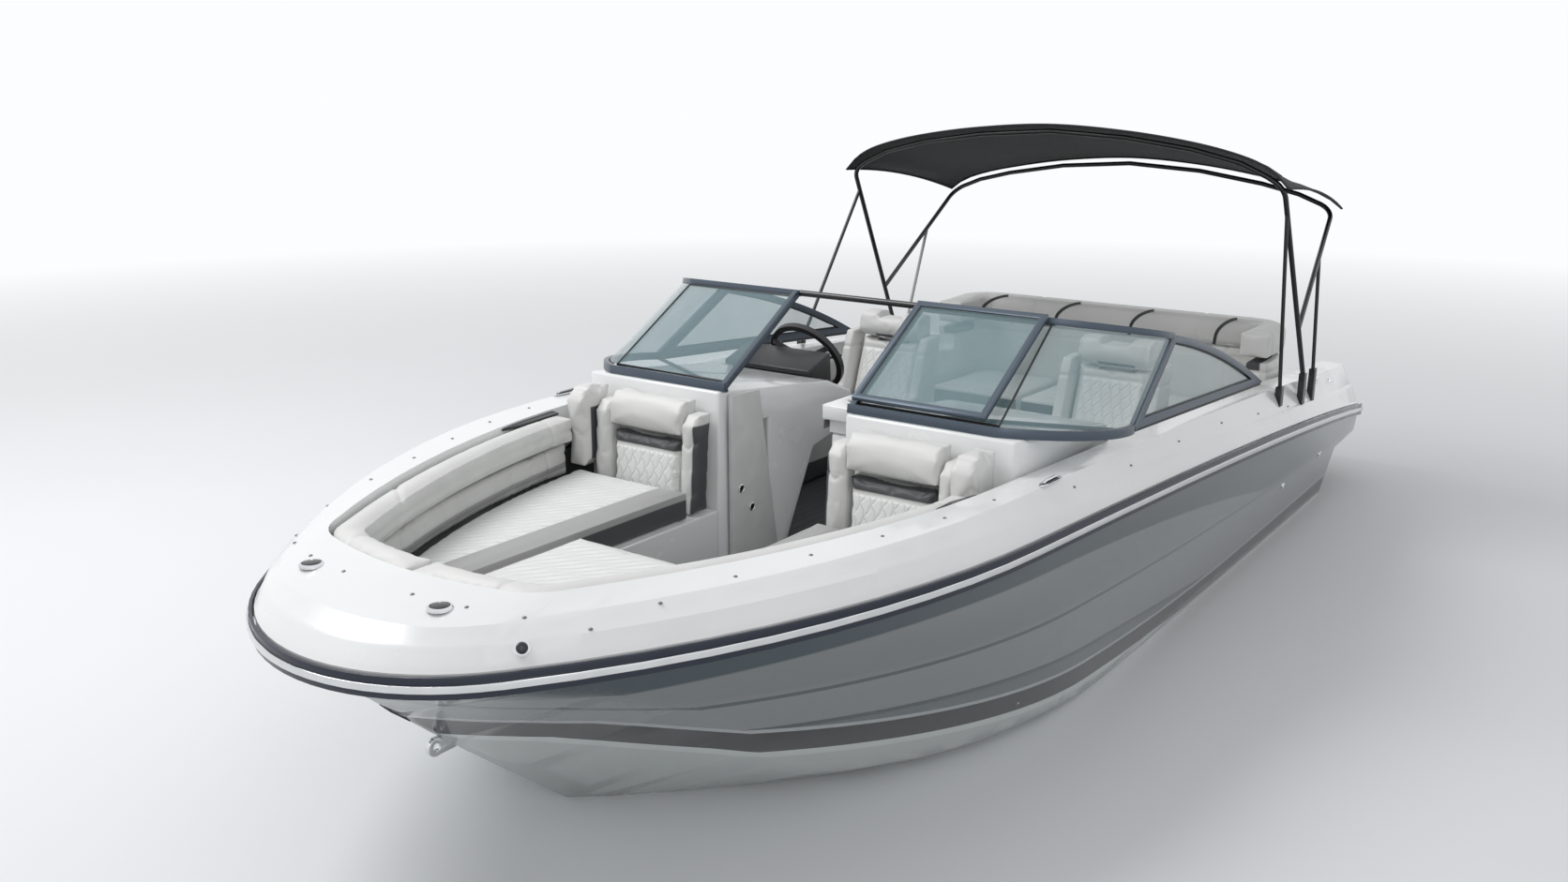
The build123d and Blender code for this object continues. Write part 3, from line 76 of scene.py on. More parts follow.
def set_camera():
    """Camera at the photograph's place."""
    lens = bpy.data.cameras.new("camera")
    lens.sensor_width = 36.0
    lens.lens = CAMERA_LENS
    camera = bpy.data.objects.new("camera", lens)
    camera.location = CAMERA_PLACE
    camera.rotation_euler = (math.radians(90 - CAMERA_DOWN), 0, math.radians(CAMERA_HEADING))
    bpy.context.scene.collection.objects.link(camera)
    bpy.context.scene.camera = camera


set_camera()


def operation(name, swapped=False):
    """Method that makes one maths node of a tone and what it is combined with."""
    def method(tone, *others):
        values = (*others, tone) if swapped else (tone, *others)
        return tone.nodes.node("ShaderNodeMath", {"operation": name}, dict(enumerate(values)))
    return method


class Tone:
    """A shader socket that can be added, scaled and compared like a number."""

    def __init__(self, nodes, socket):
        self.nodes = nodes
        self.socket = socket

    __add__, __radd__ = operation("ADD"), operation("ADD", swapped=True)
    __sub__, __rsub__ = operation("SUBTRACT"), operation("SUBTRACT", swapped=True)
    __mul__, __rmul__ = operation("MULTIPLY"), operation("MULTIPLY", swapped=True)
    __truediv__, __rtruediv__ = operation("DIVIDE"), operation("DIVIDE", swapped=True)
    __pow__, __rpow__ = operation("POWER"), operation("POWER", swapped=True)
    __gt__ = operation("GREATER_THAN")
    __lt__ = operation("LESS_THAN")
    __abs__ = operation("ABSOLUTE")
    least = operation("MINIMUM")
    most = operation("MAXIMUM")
    sine = operation("SINE")
    pingpong = operation("PINGPONG")

    def wrapped(self, step):
        """Distance to the nearest multiple of step."""
        return self.pingpong(step / 2)

    def ramp(self, low, high, start=0.0, end=1.0):
        """Straight rise from start at low to end at high, held beyond."""
        sockets = {"Value": self, "From Min": low, "From Max": high, "To Min": start, "To Max": end}
        return self.nodes.node("ShaderNodeMapRange", {"clamp": True}, sockets)


class Nodes:
    """A node tree being built."""

    def __init__(self, tree):
        self.tree = tree

    def connect(self, socket, value):
        """Link a tone to the socket, or set the socket to a plain value."""
        if isinstance(value, Tone):
            self.tree.links.new(value.socket, socket)
        elif isinstance(value, tuple) and len(value) == 3 and len(socket.default_value) == 4:
            socket.default_value = (*value, 1.0)
        else:
            socket.default_value = value

    def node(self, kind, settings=None, sockets=None, output=0):
        """New node with its settings, then its sockets; gives one output."""
        made = self.tree.nodes.new(kind)
        for name, value in (settings or {}).items():
            setattr(made, name, value)
        for name, value in (sockets or {}).items():
            self.connect(made.inputs[name], value)
        return Tone(self, made.outputs[output])


class Finish(Nodes):
    """A material being built: its shader, its coordinates and the nodes that feed it."""

    def __init__(self, name, color, roughness, **sockets):
        self.material = bpy.data.materials.new(name)
        self.material.use_nodes = True
        super().__init__(self.material.node_tree)
        self.shader = self.tree.nodes["Principled BSDF"]
        self.set(**{"Base Color": color, "Roughness": roughness, **sockets})
        self.place = self.node("ShaderNodeTexCoord", output="Object")
        parts = self.node("ShaderNodeSeparateXYZ", None, {0: self.place}).socket.node
        self.x, self.y, self.z = (Tone(self, part) for part in parts.outputs)

    def set(self, **sockets):
        """Feed the shader's sockets."""
        for name, value in sockets.items():
            self.connect(self.shader.inputs[name], value)

    def noise(self, scale, detail=3.0, stretch=None):
        """Cloudy noise on object coordinates."""
        place = self.place
        if stretch:
            place = self.node("ShaderNodeMapping", None, {"Vector": place, "Scale": stretch})
        sockets = {"Vector": place, "Scale": scale, "Detail": detail}
        return self.node("ShaderNodeTexNoise", None, sockets, "Fac")

    def cells(self, scale):
        """Distance to the nearest cell point."""
        sockets = {"Vector": self.place, "Scale": scale}
        return self.node("ShaderNodeTexVoronoi", None, sockets, "Distance")

    def mix(self, mask, first, second):
        """First colour where the mask is 0, second where it is 1."""
        sockets = {0: mask, 6: first, 7: second}
        return self.node("ShaderNodeMix", {"data_type": "RGBA"}, sockets, 2)

    def paint(self, tone):
        """Feed the shader's colour."""
        self.set(**{"Base Color": tone})

    def bump(self, height, depth, strength):
        """Relief of the given depth in metres."""
        sockets = {"Height": height, "Distance": depth, "Strength": strength}
        self.set(Normal=self.node("ShaderNodeBump", None, sockets))
        return self


def shade(color, share):
    """Colour made lighter or darker by a share."""
    return tuple(min(channel * share, 1.0) for channel in color)


# Sheer line at the rubbing rail: height at the stern, amidships and at the bow
SHEER = ((-3.3, 0.400), (0.0, 0.812), (3.3, 0.812))


def sheer(x):
    """Height of the rail at x, a number or a tone."""
    (x1, z1), (x2, z2), (x3, z3) = SHEER
    a = (z2 - z1) / (x2 - x1)
    b = ((z3 - z2) / (x3 - x2) - a) / (x3 - x1)
    return z1 + (x - x1) * a + (x - x1) * (x - x2) * b


WHITE = (0.80, 0.81, 0.81)


def mask_box(finish, low, high, soft=0.003):
    """One inside a box on x, distance from the middle and z; None leaves a side open."""
    mask = None
    for value, start, end in zip((finish.x, abs(finish.y), finish.z), low, high):
        for edge, sign in ((start, 1), (end, -1)):
            if edge is None:
                continue
            side = ((value - edge) * sign).ramp(-soft, soft)
            mask = side if mask is None else mask * side
    return mask


def gelcoat():
    """White gelcoat, glossy with a faint orange peel and a little dulling."""
    finish = Finish("white_gelcoat", WHITE, 0.22, **{"Coat Weight": 0.4, "Coat Roughness": 0.06})
    finish.paint(finish.mix(finish.noise(1.7).ramp(0.3, 0.7), WHITE, shade(WHITE, 0.955)))
    finish.set(Roughness=finish.noise(6.0).ramp(0.3, 0.7, 0.16, 0.3))
    return finish.bump(finish.noise(260.0, 1.0), 0.0004, 0.25)


def hull_paint():
    """Metallic grey topsides with darker and lighter bands, partly hull graphics and partly painted
    reflection of the water and sky, a black boot stripe and a pale bottom.
    """
    grey, dark, teal = (0.215, 0.228, 0.232), (0.062, 0.082, 0.096), (0.135, 0.158, 0.172)
    silver, black, pale = (0.42, 0.445, 0.45), (0.008, 0.008, 0.01), (0.56, 0.59, 0.585)
    finish = Finish("hull_gelcoat", grey, 0.2, **{"Coat Weight": 0.6, "Coat Roughness": 0.05})
    x, z = finish.x, finish.z
    below_rail = sheer(x) - z
    top_band = 0.095 + (x - 2.0) * (x - 2.0) * 0.02
    fine_line = (x - 1.4) * 0.06 + 0.56
    lower_line = (x - 0.38) * 0.12 + 0.243
    # Dark band under the rail, a lighter band, then a darker teal band with dark lines between: partly
    # hull graphics, partly painted reflection of water and sky
    tone = finish.mix((below_rail - top_band).ramp(-0.004, 0.004), dark, grey)
    tone = finish.mix((fine_line - z).ramp(-0.03, 0.0), tone, shade(grey, 1.16))
    tone = finish.mix((lower_line - z).ramp(-0.004, 0.004), tone, teal)
    for line, half_width, share in ((fine_line, 0.007, 0.75), (lower_line, 0.009, 0.55)):
        tone = finish.mix(abs(z - line) < half_width, tone, shade(teal, share))
    over_stripe = z - (((x + 1.0) / 3.7).most(0.0).least(1.0) ** 2.1 * 0.44 + 0.012)
    for top, color in ((0.112, silver), (0.096, black), (0.0, pale), (-0.03, shade(pale, 0.82))):
        tone = finish.mix(over_stripe < top, tone, color)
    liner = mask_box(finish, (-2.7, None, 0.19), (1.2, None, None))
    inside = (liner * (abs(finish.y) < z * 0.2 + 1.035)).most(below_rail < -0.05)
    finish.paint(finish.mix(inside, tone, WHITE))
    flake = finish.cells(900.0)
    finish.set(Metallic=flake.ramp(0.2, 0.8, 0.25, 0.4) * (over_stripe > 0.0) * (1.0 - inside))
    finish.set(Roughness=flake.ramp(0.0, 1.0, 0.16, 0.26))
    return finish.bump(finish.noise(90.0, 1.0), 0.0006, 0.15)


def anodised():
    """Blue-grey anodised window frame with fine draw lines."""
    tint = (0.075, 0.097, 0.125)
    finish = Finish("frame_metal", tint, 0.32, Metallic=0.5)
    drawn = finish.noise(60.0, 3.0, (1.0, 1.0, 14.0))
    finish.paint(finish.mix(drawn, shade(tint, 0.85), shade(tint, 1.2)))
    finish.set(Roughness=drawn.ramp(0.2, 0.8, 0.26, 0.4))
    return finish


def plain_gloss(name, color, roughness, metallic=0.0, spread=0.06):
    """Hard surface with slight variation in colour and gloss."""
    finish = Finish(name, color, roughness, Metallic=metallic)
    cloud = finish.noise(14.0)
    finish.paint(finish.mix(cloud, shade(color, 0.9), shade(color, 1.1)))
    finish.set(Roughness=cloud.ramp(0.2, 0.8, max(roughness - spread, 0.03), roughness + spread))
    return finish.bump(finish.noise(300.0, 1.0), 0.0003, 0.2)


LIGHT_VINYL = (0.68, 0.68, 0.665)
BRIGHT_VINYL = (0.79, 0.80, 0.79)
MID_VINYL = (0.38, 0.38, 0.375)
DARK_VINYL = (0.060, 0.062, 0.067)
QUILT_STEP = 0.048
QUILT_LEAN = 0.55


def quilt_lines(finish):
    """Distance to the nearest stitch of waved diamond quilting."""
    side = finish.y + finish.x * 0.85
    rise = finish.z * 0.9 - finish.x * 0.35
    wave = (rise * 150.0).sine() * 0.003
    first = (side + rise * QUILT_LEAN + wave).wrapped(QUILT_STEP)
    second = (side - rise * QUILT_LEAN + wave).wrapped(QUILT_STEP)
    return first.least(second)


def vinyl(name, zones):
    """Marine vinyl with pebbled grain; zones are (colour, low, high) or ("quilt", low, high)."""
    finish = Finish(name, LIGHT_VINYL, 0.48, **{"Coat Weight": 0.08, "Coat Roughness": 0.3})
    cloud = finish.noise(5.0)
    tone = finish.mix(cloud.ramp(0.3, 0.7), shade(LIGHT_VINYL, 0.94), shade(LIGHT_VINYL, 1.03))
    relief = finish.cells(520.0) * 0.3
    for color, low, high in zones:
        mask = mask_box(finish, low, high)
        if color == "quilt":
            stitch = quilt_lines(finish)
            # Darker line along each stitch: the thread, with painted shade in the sewn channel
            thread_and_channel_shade = stitch.ramp(0.0, 0.0025, 0.55, 0.0)
            zone = finish.mix(thread_and_channel_shade, BRIGHT_VINYL, shade(BRIGHT_VINYL, 0.5))
            relief = relief + stitch.ramp(0.0, 0.009) * mask * 3.0
        else:
            zone = finish.mix(cloud, shade(color, 0.92), shade(color, 1.08))
        tone = finish.mix(mask, tone, zone)
    finish.paint(tone)
    finish.set(Roughness=cloud.ramp(0.2, 0.8, 0.42, 0.56))
    return finish.bump(relief, 0.0014, 0.55)


ANYWHERE = (None, None, None)
AFT_PADS = ((0.06, 0.30), (0.36, 0.62), (0.68, 0.93))
AFT_BANDS = (("quilt", -1.80, 0.655, 0.855), (DARK_VINYL, -1.95, 0.872, 0.926))
# Zones of each vinyl on x, distance from the middle and z; None leaves a side open
VINYL_ZONES = {
    "light": (),
    "bow_back": (
        ("quilt", (1.26, 0.405, 0.66), (1.34, 0.760, 0.872)),
        (DARK_VINYL, (1.24, 0.398, 0.890), (1.34, 0.768, 0.936)),
        (DARK_VINYL, ANYWHERE, (1.345, 0.324, 1.01)),
        (DARK_VINYL, (None, 0.838, None), (1.322, 0.853, 1.02)),
    ),
    "bow_cushion": (
        ("quilt", (None, 0.430, 0.735), (None, 0.880, None)),
        (MID_VINYL, (None, 0.290, 0.730), (None, 0.430, None)),
        (DARK_VINYL, (None, 0.200, None), (1.965, 0.322, 0.730)),
        ("quilt", (2.012, None, 0.735), (None, 0.272, None)),
        (DARK_VINYL, (1.940, None, None), (1.992, 0.300, 0.730)),
    ),
    "bolster": ((MID_VINYL, (None, None, 0.768), (None, None, 0.792)),),
    "seat": (
        ("quilt", (-0.70, 0.45, 0.70), (-0.20, 0.75, 0.98)),
        (DARK_VINYL, (-0.80, 0.52, 1.02), (-0.60, 0.70, 1.06)),
        (DARK_VINYL, ANYWHERE, (None, None, 0.665)),
    ),
    "aft_back": tuple(
        (kind, (x, inner, foot), (None, outer, head))
        for kind, x, foot, head in AFT_BANDS
        for inner, outer in AFT_PADS
    ),
    "aft_cushion": (
        ("quilt", (-1.98, 0.04, 0.60), (-1.52, 0.25, None)),
        ("quilt", (-1.98, 0.33, 0.60), (-1.52, 0.80, None)),
        (DARK_VINYL, (-1.470, None, None), (None, None, 0.600)),
    ),
    "side_panel": (
        (DARK_VINYL, ANYWHERE, (None, None, 0.34)),
        (MID_VINYL, (None, None, 0.60), (None, None, 0.70)),
    ),
}


def canvas():
    """Black woven canvas with a fine over-and-under weave."""
    finish = Finish("black_canvas", (0.012, 0.012, 0.014), 0.85, **{"Sheen Weight": 0.06})
    warp, weft = ((along * 2400.0).sine() for along in (finish.x, finish.y))
    finish.paint(finish.mix(finish.noise(4.0), (0.004, 0.004, 0.005), (0.010, 0.010, 0.012)))
    return finish.bump(warp * weft + finish.noise(35.0, 2.0) * 2.0, 0.0006, 0.4)


def mat():
    """Grooved dark grey sole mat, its grooves painted near black as painted shade, with a pale ring
    forward in the aisle.
    """
    finish = Finish("sole_mat", (0.115, 0.12, 0.125), 0.8)
    groove = finish.y.wrapped(0.05).ramp(0.0, 0.003, 1.0, 0.0)
    # Grooves painted near black: painted shade in the grooves
    tone = finish.mix(groove, (0.085, 0.088, 0.092), (0.018, 0.018, 0.02))
    reach = ((finish.x - 1.36) * (finish.x - 1.36) + finish.y * finish.y) ** 0.5
    ring = abs(reach - 0.12).ramp(0.02, 0.024, 1.0, 0.0)
    finish.paint(finish.mix(ring, tone, (0.26, 0.27, 0.27)))
    return finish.bump(finish.noise(220.0, 2.0) - groove * 2.0, 0.0012, 0.6)


def tinted_glass():
    """Pale blue-green windshield glass."""
    coat = {"Coat Weight": 1.0, "Coat Roughness": 0.02}
    finish = Finish("tinted_glass", (0.22, 0.35, 0.38), 0.03, **coat)
    finish.set(Alpha=finish.noise(2.5).ramp(0.3, 0.7, 0.26, 0.34))
    return finish


def struts_paint():
    """Satin black tube, with the grey webbing strap that stands for the starboard rear strut."""
    black = (0.010, 0.010, 0.011)
    finish = Finish("strut_black", black, 0.3)
    strap = (finish.x < -1.66) * (finish.y < -1.1)
    finish.paint(finish.mix(strap, black, (0.42, 0.42, 0.41)))
    finish.set(Roughness=finish.noise(14.0).ramp(0.2, 0.8, 0.22, 0.4) + strap * 0.4)
    return finish.bump((finish.z * 900.0).sine() * strap, 0.0006, 0.5)


def gauge_face():
    """Glossy black dial."""
    finish = Finish("gauge_face", (0.01, 0.01, 0.012), 0.2, **{"Coat Weight": 1.0})
    finish.paint(finish.mix(finish.noise(120.0), (0.006, 0.006, 0.008), (0.02, 0.02, 0.025)))
    return finish


# Plain hard finishes: name, colour, roughness, and if there are any: metallic, spread of roughness
PLAIN = {
    "gasket": ("black_gasket", (0.012, 0.012, 0.013), 0.45),
    "rail": ("navy_rail", (0.010, 0.016, 0.032), 0.2),
    "chrome": ("bright_chrome", (0.72, 0.73, 0.74), 0.09, 1.0, 0.03),
    "snap": ("snap_steel", (0.16, 0.165, 0.17), 0.3, 0.8),
    "tube": ("black_tube", (0.010, 0.010, 0.011), 0.22),
    "black": ("black_plastic", (0.014, 0.014, 0.016), 0.4),
    "gloss_black": ("gloss_black", (0.006, 0.006, 0.008), 0.25),
    "leather": ("wheel_leather", (0.022, 0.022, 0.024), 0.45),
    "panel": ("grey_panel", (0.15, 0.14, 0.13), 0.45),
    "trim": ("light_grey_trim", (0.60, 0.605, 0.60), 0.35),
    "drive": ("drive_paint", (0.018, 0.019, 0.021), 0.3),
    "propeller": ("propeller_alloy", (0.50, 0.51, 0.53), 0.3, 0.9),
    "engine": ("engine_iron", (0.05, 0.05, 0.055), 0.55, 0.3),
    "webbing": ("dark_webbing", (0.03, 0.03, 0.032), 0.8),
}
MATERIALS = {
    "gelcoat": gelcoat(),
    "hull": hull_paint(),
    "frame": anodised(),
    "strut": struts_paint(),
    "gauge": gauge_face(),
    "canvas": canvas(),
    "mat": mat(),
    "glass": tinted_glass(),
}
MATERIALS.update((key, plain_gloss(*row)) for key, row in PLAIN.items())
MATERIALS.update((key, vinyl(key + "_vinyl", zones)) for key, zones in VINYL_ZONES.items())


def body_of_node(node):
    """Name of the body that a node belongs to."""
    return frame["nodes"][node]["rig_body"]


def new_object(name, mesh, material=None):
    """Object in the scene for a mesh."""
    made = bpy.data.objects.new(name, mesh)
    bpy.context.scene.collection.objects.link(made)
    if material:
        mesh.materials.append(MATERIALS[material].material)
    return made


MERGE_WITHIN = 2e-5
FLAT_WITHIN = math.radians(0.4)


def merged_copy(node):
    """A node's mesh with its doubles merged and its flat faces joined."""
    shape = bmesh.new()
    shape.from_mesh(frame["nodes"][node].data)
    bmesh.ops.remove_doubles(shape, verts=shape.verts, dist=MERGE_WITHIN)
    bmesh.ops.dissolve_limit(shape, angle_limit=FLAT_WITHIN, verts=shape.verts, edges=shape.edges)
    return shape


def mesh_of(shape, name):
    """Plain mesh of a bmesh, which is freed."""
    mesh = bpy.data.meshes.new(name)
    shape.to_mesh(mesh)
    shape.free()
    return mesh


# Angles over which an edge stays sharp in shading, and is rounded
SHARP_ANGLE = 32.0
ROUNDED_ANGLE = 30.0


def smooth(mesh, angle):
    """Smooth shading except over edges sharper than the angle."""
    mesh.polygons.foreach_set("use_smooth", [True] * len(mesh.polygons))
    mesh.set_sharp_from_angle(angle=math.radians(angle))


def baked(piece):
    """Turn an object's modifiers into plain mesh."""
    bpy.context.view_layer.update()
    seen = piece.evaluated_get(bpy.context.evaluated_depsgraph_get())
    mesh = bpy.data.meshes.new_from_object(seen)
    piece.modifiers.clear()
    piece.data = mesh


def settle(piece, body, slot_name, *nodes):
    """Tell the frame what the piece rides on and what it replaces; slot_name is not used."""
    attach(piece, body)
    if nodes:
        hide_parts(*nodes)
    return piece


def slot_of(node):
    """Material slot that the record gives a node."""
    return next(s["material_slot"] for s in frame["record"]["subparts"] if s["node"] == node)


def soften_edges(piece, radius):
    """Edges of a piece rounded by the given radius."""
    bevel = piece.modifiers.new("soften", "BEVEL")
    bevel.width = radius
    bevel.segments = 2
    bevel.limit_method = "ANGLE"
    bevel.angle_limit = math.radians(ROUNDED_ANGLE)
    baked(piece)


def finished(shape, name, material, body, slot, nodes=(), radius=0.0, angle=SHARP_ANGLE):
    """Settled piece of a bmesh, with its edges softened."""
    piece = new_object(name, mesh_of(shape, name), material)
    if radius:
        soften_edges(piece, radius)
    smooth(piece.data, angle)
    return settle(piece, body, slot, *nodes)


def dress(node, material, *edges):
    """Rigid node with softened edges and its finish."""
    body, slot = body_of_node(node), slot_of(node)
    finished(merged_copy(node), "fine_" + node, material, body, slot, (node,), *edges)


# Node, material, and if there are any: edge radius, angle over which an edge stays sharp
RIGID = (
    ("hull", "hull", 0.0, 28.0),
    ("deck", "gelcoat", 0.006, 13.0),
    ("rub_rail", "rail", 0.004),
    ("rail_insert", "chrome", 0.003),
    ("cockpit_sole", "mat"),
    ("bow_seat_base", "gelcoat", 0.008),
    ("helm_console", "gelcoat", 0.012),
    ("port_console", "gelcoat", 0.012),
    ("cup_ledge", "gelcoat", 0.006),
    ("dash_pod", "black", 0.008),
    ("seat_pedestals", "chrome", 0.002),
    ("aft_bench_base", "gelcoat", 0.008),
    ("engine_block", "engine", 0.01),
    ("stern_deck", "gelcoat", 0.006),
    ("engine_hatch", "gelcoat", 0.006),
    ("windshield_frame", "frame", 0.003),
    ("windshield_glass", "glass"),
    ("header_bar", "tube"),
    ("windshield_door_frame", "frame", 0.003),
    ("windshield_door_glass", "glass"),
    ("locker_door", "trim", 0.006),
    ("steering_wheel", "leather", 0.0, 40.0),
    ("steering_column", "black", 0.002),
    ("throttle_box", "black", 0.006),
    ("swim_platform", "mat", 0.003),
    ("transom_shield", "drive", 0.006),
    ("gimbal_ring", "drive", 0.003),
    ("drive_leg", "drive", 0.005),
    ("propeller", "propeller"),
    ("bow_eye", "chrome", 0.002, 40.0),
    ("top_bows", "tube", 0.0, 40.0),
    ("top_struts", "strut", 0.0, 40.0),
    ("top_feet", "tube", 0.003),
)
for row in RIGID:
    dress(*row)


def fine_tree(node):
    """Search tree of a rigid node's surface in the scene."""
    shape = bmesh.new()
    shape.from_mesh(bpy.data.objects["fine_" + node].data)
    tree = BVHTree.FromBMesh(shape)
    shape.free()
    return tree


# Sign of y on each side of the boat
SIDES = ((1, "port"), (-1, "starboard"))
CURVE_STEPS = 12


def smooth_line(points, count):
    """Even points on a curve through the given ones."""
    given = np.array(points, dtype=float)
    ends = np.vstack([2 * given[0] - given[1], given, 2 * given[-1] - given[-2]])
    fine = []
    for a, b, c, d in zip(ends, ends[1:], ends[2:], ends[3:]):
        square, cube = 2 * a - 5 * b + 4 * c - d, 3 * b - a - 3 * c + d
        for t in np.linspace(0, 1, CURVE_STEPS, endpoint=False):
            fine.append(0.5 * (2 * b + (c - a) * t + square * t**2 + cube * t**3))
    fine.append(given[-1])
    fine = np.array(fine)
    reach = np.concatenate([[0], np.cumsum(np.linalg.norm(np.diff(fine, axis=0), axis=1))])
    steps = np.linspace(0, reach[-1], count)
    return np.stack([np.interp(steps, reach, fine[:, i]) for i in range(3)], axis=1)


def ring_of(shape, centre, side, up, radius, steps, flat=1.0):
    """Ring of new vertices round a centre."""
    turns = [2 * math.pi * k / steps for k in range(steps)]
    offsets = [side * math.cos(turn) + up * math.sin(turn) * flat for turn in turns]
    return [shape.verts.new(centre + offset * radius) for offset in offsets]


def rod(name, points, radius, material, body="root", slot="black_plastic", closed=False, sides=8,
        flat=1.0):
    """Round or flattened bar along a line of points."""
    line = [Vector(p) for p in points]
    count = len(line)
    radii = radius if hasattr(radius, "__len__") else [radius] * count
    shape = bmesh.new()
    rings = []
    side = None
    for i, point in enumerate(line):
        before = line[i - 1] if i or closed else point
        after = line[(i + 1) % count] if i + 1 < count or closed else point
        run = (after - before).normalized()
        if side is None:
            upright = abs(run.z) >= 0.95
            side = (run.orthogonal() if upright else run.cross(Vector((0, 0, 1)))).normalized()
        side = (side - run * side.dot(run)).normalized()
        rings.append(ring_of(shape, point, side, run.cross(side), radii[i], sides, flat))
    for i in range(count if closed else count - 1):
        first, second = rings[i], rings[(i + 1) % count]
        for k in range(sides):
            j = (k + 1) % sides
            shape.faces.new((first[k], first[j], second[j], second[k]))
    if not closed:
        shape.faces.new(rings[0])
        shape.faces.new(rings[-1])
    bmesh.ops.recalc_face_normals(shape, faces=shape.faces)
    return finished(shape, name, material, body, slot, angle=50.0)


def turned(name, profile, place, axis, material, body="root", slot="chrome", steps=32, nodes=()):
    """Turned piece: profile of (radius, height) along an axis from its place."""
    up = Vector(axis).normalized()
    side = up.orthogonal().normalized()
    other = up.cross(side)
    shape = bmesh.new()
    rings = []
    for radius, height in profile:
        centre = Vector(place) + up * height
        on_axis = radius < 1e-6
        ring = [shape.verts.new(centre)] if on_axis else ring_of(shape, centre, side, other, radius, steps)
        rings.append(ring)
    for first, second in zip(rings, rings[1:]):
        for k in range(steps):
            corners = [first[k % len(first)], first[(k + 1) % len(first)]]
            corners += [second[(k + 1) % len(second)], second[k % len(second)]]
            shape.faces.new(list(dict.fromkeys(corners)))
    bmesh.ops.recalc_face_normals(shape, faces=shape.faces)
    finished(shape, name, material, body, slot, nodes, angle=35.0)


def slab(name, outline, thickness, axis, material, slot="black_plastic", radius=0.003):
    """Flat plate: outline points in space, made thick along an axis, with rounded edges."""
    shape = bmesh.new()
    low = [shape.verts.new(Vector(p)) for p in outline]
    high = [shape.verts.new(Vector(p) + Vector(axis).normalized() * thickness) for p in outline]
    shape.faces.new(low)
    shape.faces.new(high)
    for i in range(len(low)):
        j = (i + 1) % len(low)
        shape.faces.new((low[i], low[j], high[j], high[i]))
    bmesh.ops.recalc_face_normals(shape, faces=shape.faces)
    finished(shape, name, material, "root", slot, radius=radius)


# Pads: rounds of smoothing, how far they are drawn in before they swell, and their sewn channels
PAD_ROUNDS = 3
PAD_SHRINK = 0.005
PAD_SHARP_ANGLE = 80.0
SEAM_WIDTH = 0.011
SEAM_DEPTH = 0.006
# Frames and settings of the cloth that swells them
PAD_FRAMES = 20
PAD_CLOTH = {
    "quality": 4,
    "mass": 0.3,
    "tension_stiffness": 25,
    "compression_stiffness": 25,
    "shear_stiffness": 10,
    "bending_stiffness": 1.0,
    "use_pressure": True,
    "uniform_pressure_force": 4.0,
}


def islands(shape):
    """Groups of vertices, one for each loose part of a bmesh."""
    left = set(shape.verts)
    groups = []
    while left:
        seed = left.pop()
        group, edge = {seed}, [seed]
        while edge:
            vertex = edge.pop()
            for link in vertex.link_edges:
                other = link.other_vert(vertex)
                if other in left:
                    left.discard(other)
                    group.add(other)
                    edge.append(other)
        groups.append(group)
    return sorted(groups, key=lambda group: min(v.index for v in group))


def split_copy(shape, group):
    """Copy of a bmesh that holds only one group of vertices."""
    part = shape.copy()
    part.verts.ensure_lookup_table()
    keep = {v.index for v in group}
    bmesh.ops.delete(part, geom=[v for v in part.verts if v.index not in keep], context="VERTS")
    return part


def start_pad(name, shape, voxel, material):
    """Closed pad remeshed, rounded and drawn in a little, ready to swell."""
    bmesh.ops.recalc_face_normals(shape, faces=shape.faces)
    piece = new_object(name, mesh_of(shape, name), material)
    remesh = piece.modifiers.new("remesh", "REMESH")
    remesh.mode = "VOXEL"
    remesh.voxel_size = voxel
    baked(piece)
    shape = bmesh.new()
    shape.from_mesh(piece.data)
    axes = {f"use_axis_{axis}": True for axis in "xyz"}
    for _ in range(PAD_ROUNDS):
        bmesh.ops.smooth_vert(shape, verts=shape.verts, factor=0.5, **axes)
    shape.normal_update()
    for vertex in shape.verts:
        vertex.co -= vertex.normal * PAD_SHRINK
    shape.to_mesh(piece.data)
    shape.free()
    return piece


def points_of(piece):
    """Vertex places of a piece as rows of x, y and z."""
    co = np.empty(len(piece.data.vertices) * 3)
    piece.data.vertices.foreach_get("co", co)
    return co.reshape(-1, 3)


def put_points(piece, co):
    """Move a piece's vertices to the given places."""
    piece.data.vertices.foreach_set("co", co.ravel())
    piece.data.update()


def swell(pads):
    """Inflate the pads together as cloth, then cap how far each point moved."""
    for piece, _, _ in pads:
        cloth = piece.modifiers.new("cloth", "CLOTH")
        for name, value in PAD_CLOTH.items():
            setattr(cloth.settings, name, value)
        cloth.settings.effector_weights.gravity = 0.0
        cloth.collision_settings.use_collision = False
        cloth.point_cache.frame_start = 1
        cloth.point_cache.frame_end = PAD_FRAMES
    starts = [points_of(piece) for piece, _, _ in pads]
    scene = bpy.context.scene
    for step in range(1, PAD_FRAMES + 1):
        scene.frame_set(step)
    for (piece, _, cap), start in zip(pads, starts):
        baked(piece)
        moved = points_of(piece) - start
        length = np.linalg.norm(moved, axis=1, keepdims=True)
        put_points(piece, start + moved * np.minimum(1.0, cap / np.maximum(length, 1e-9)))
    scene.frame_set(1)


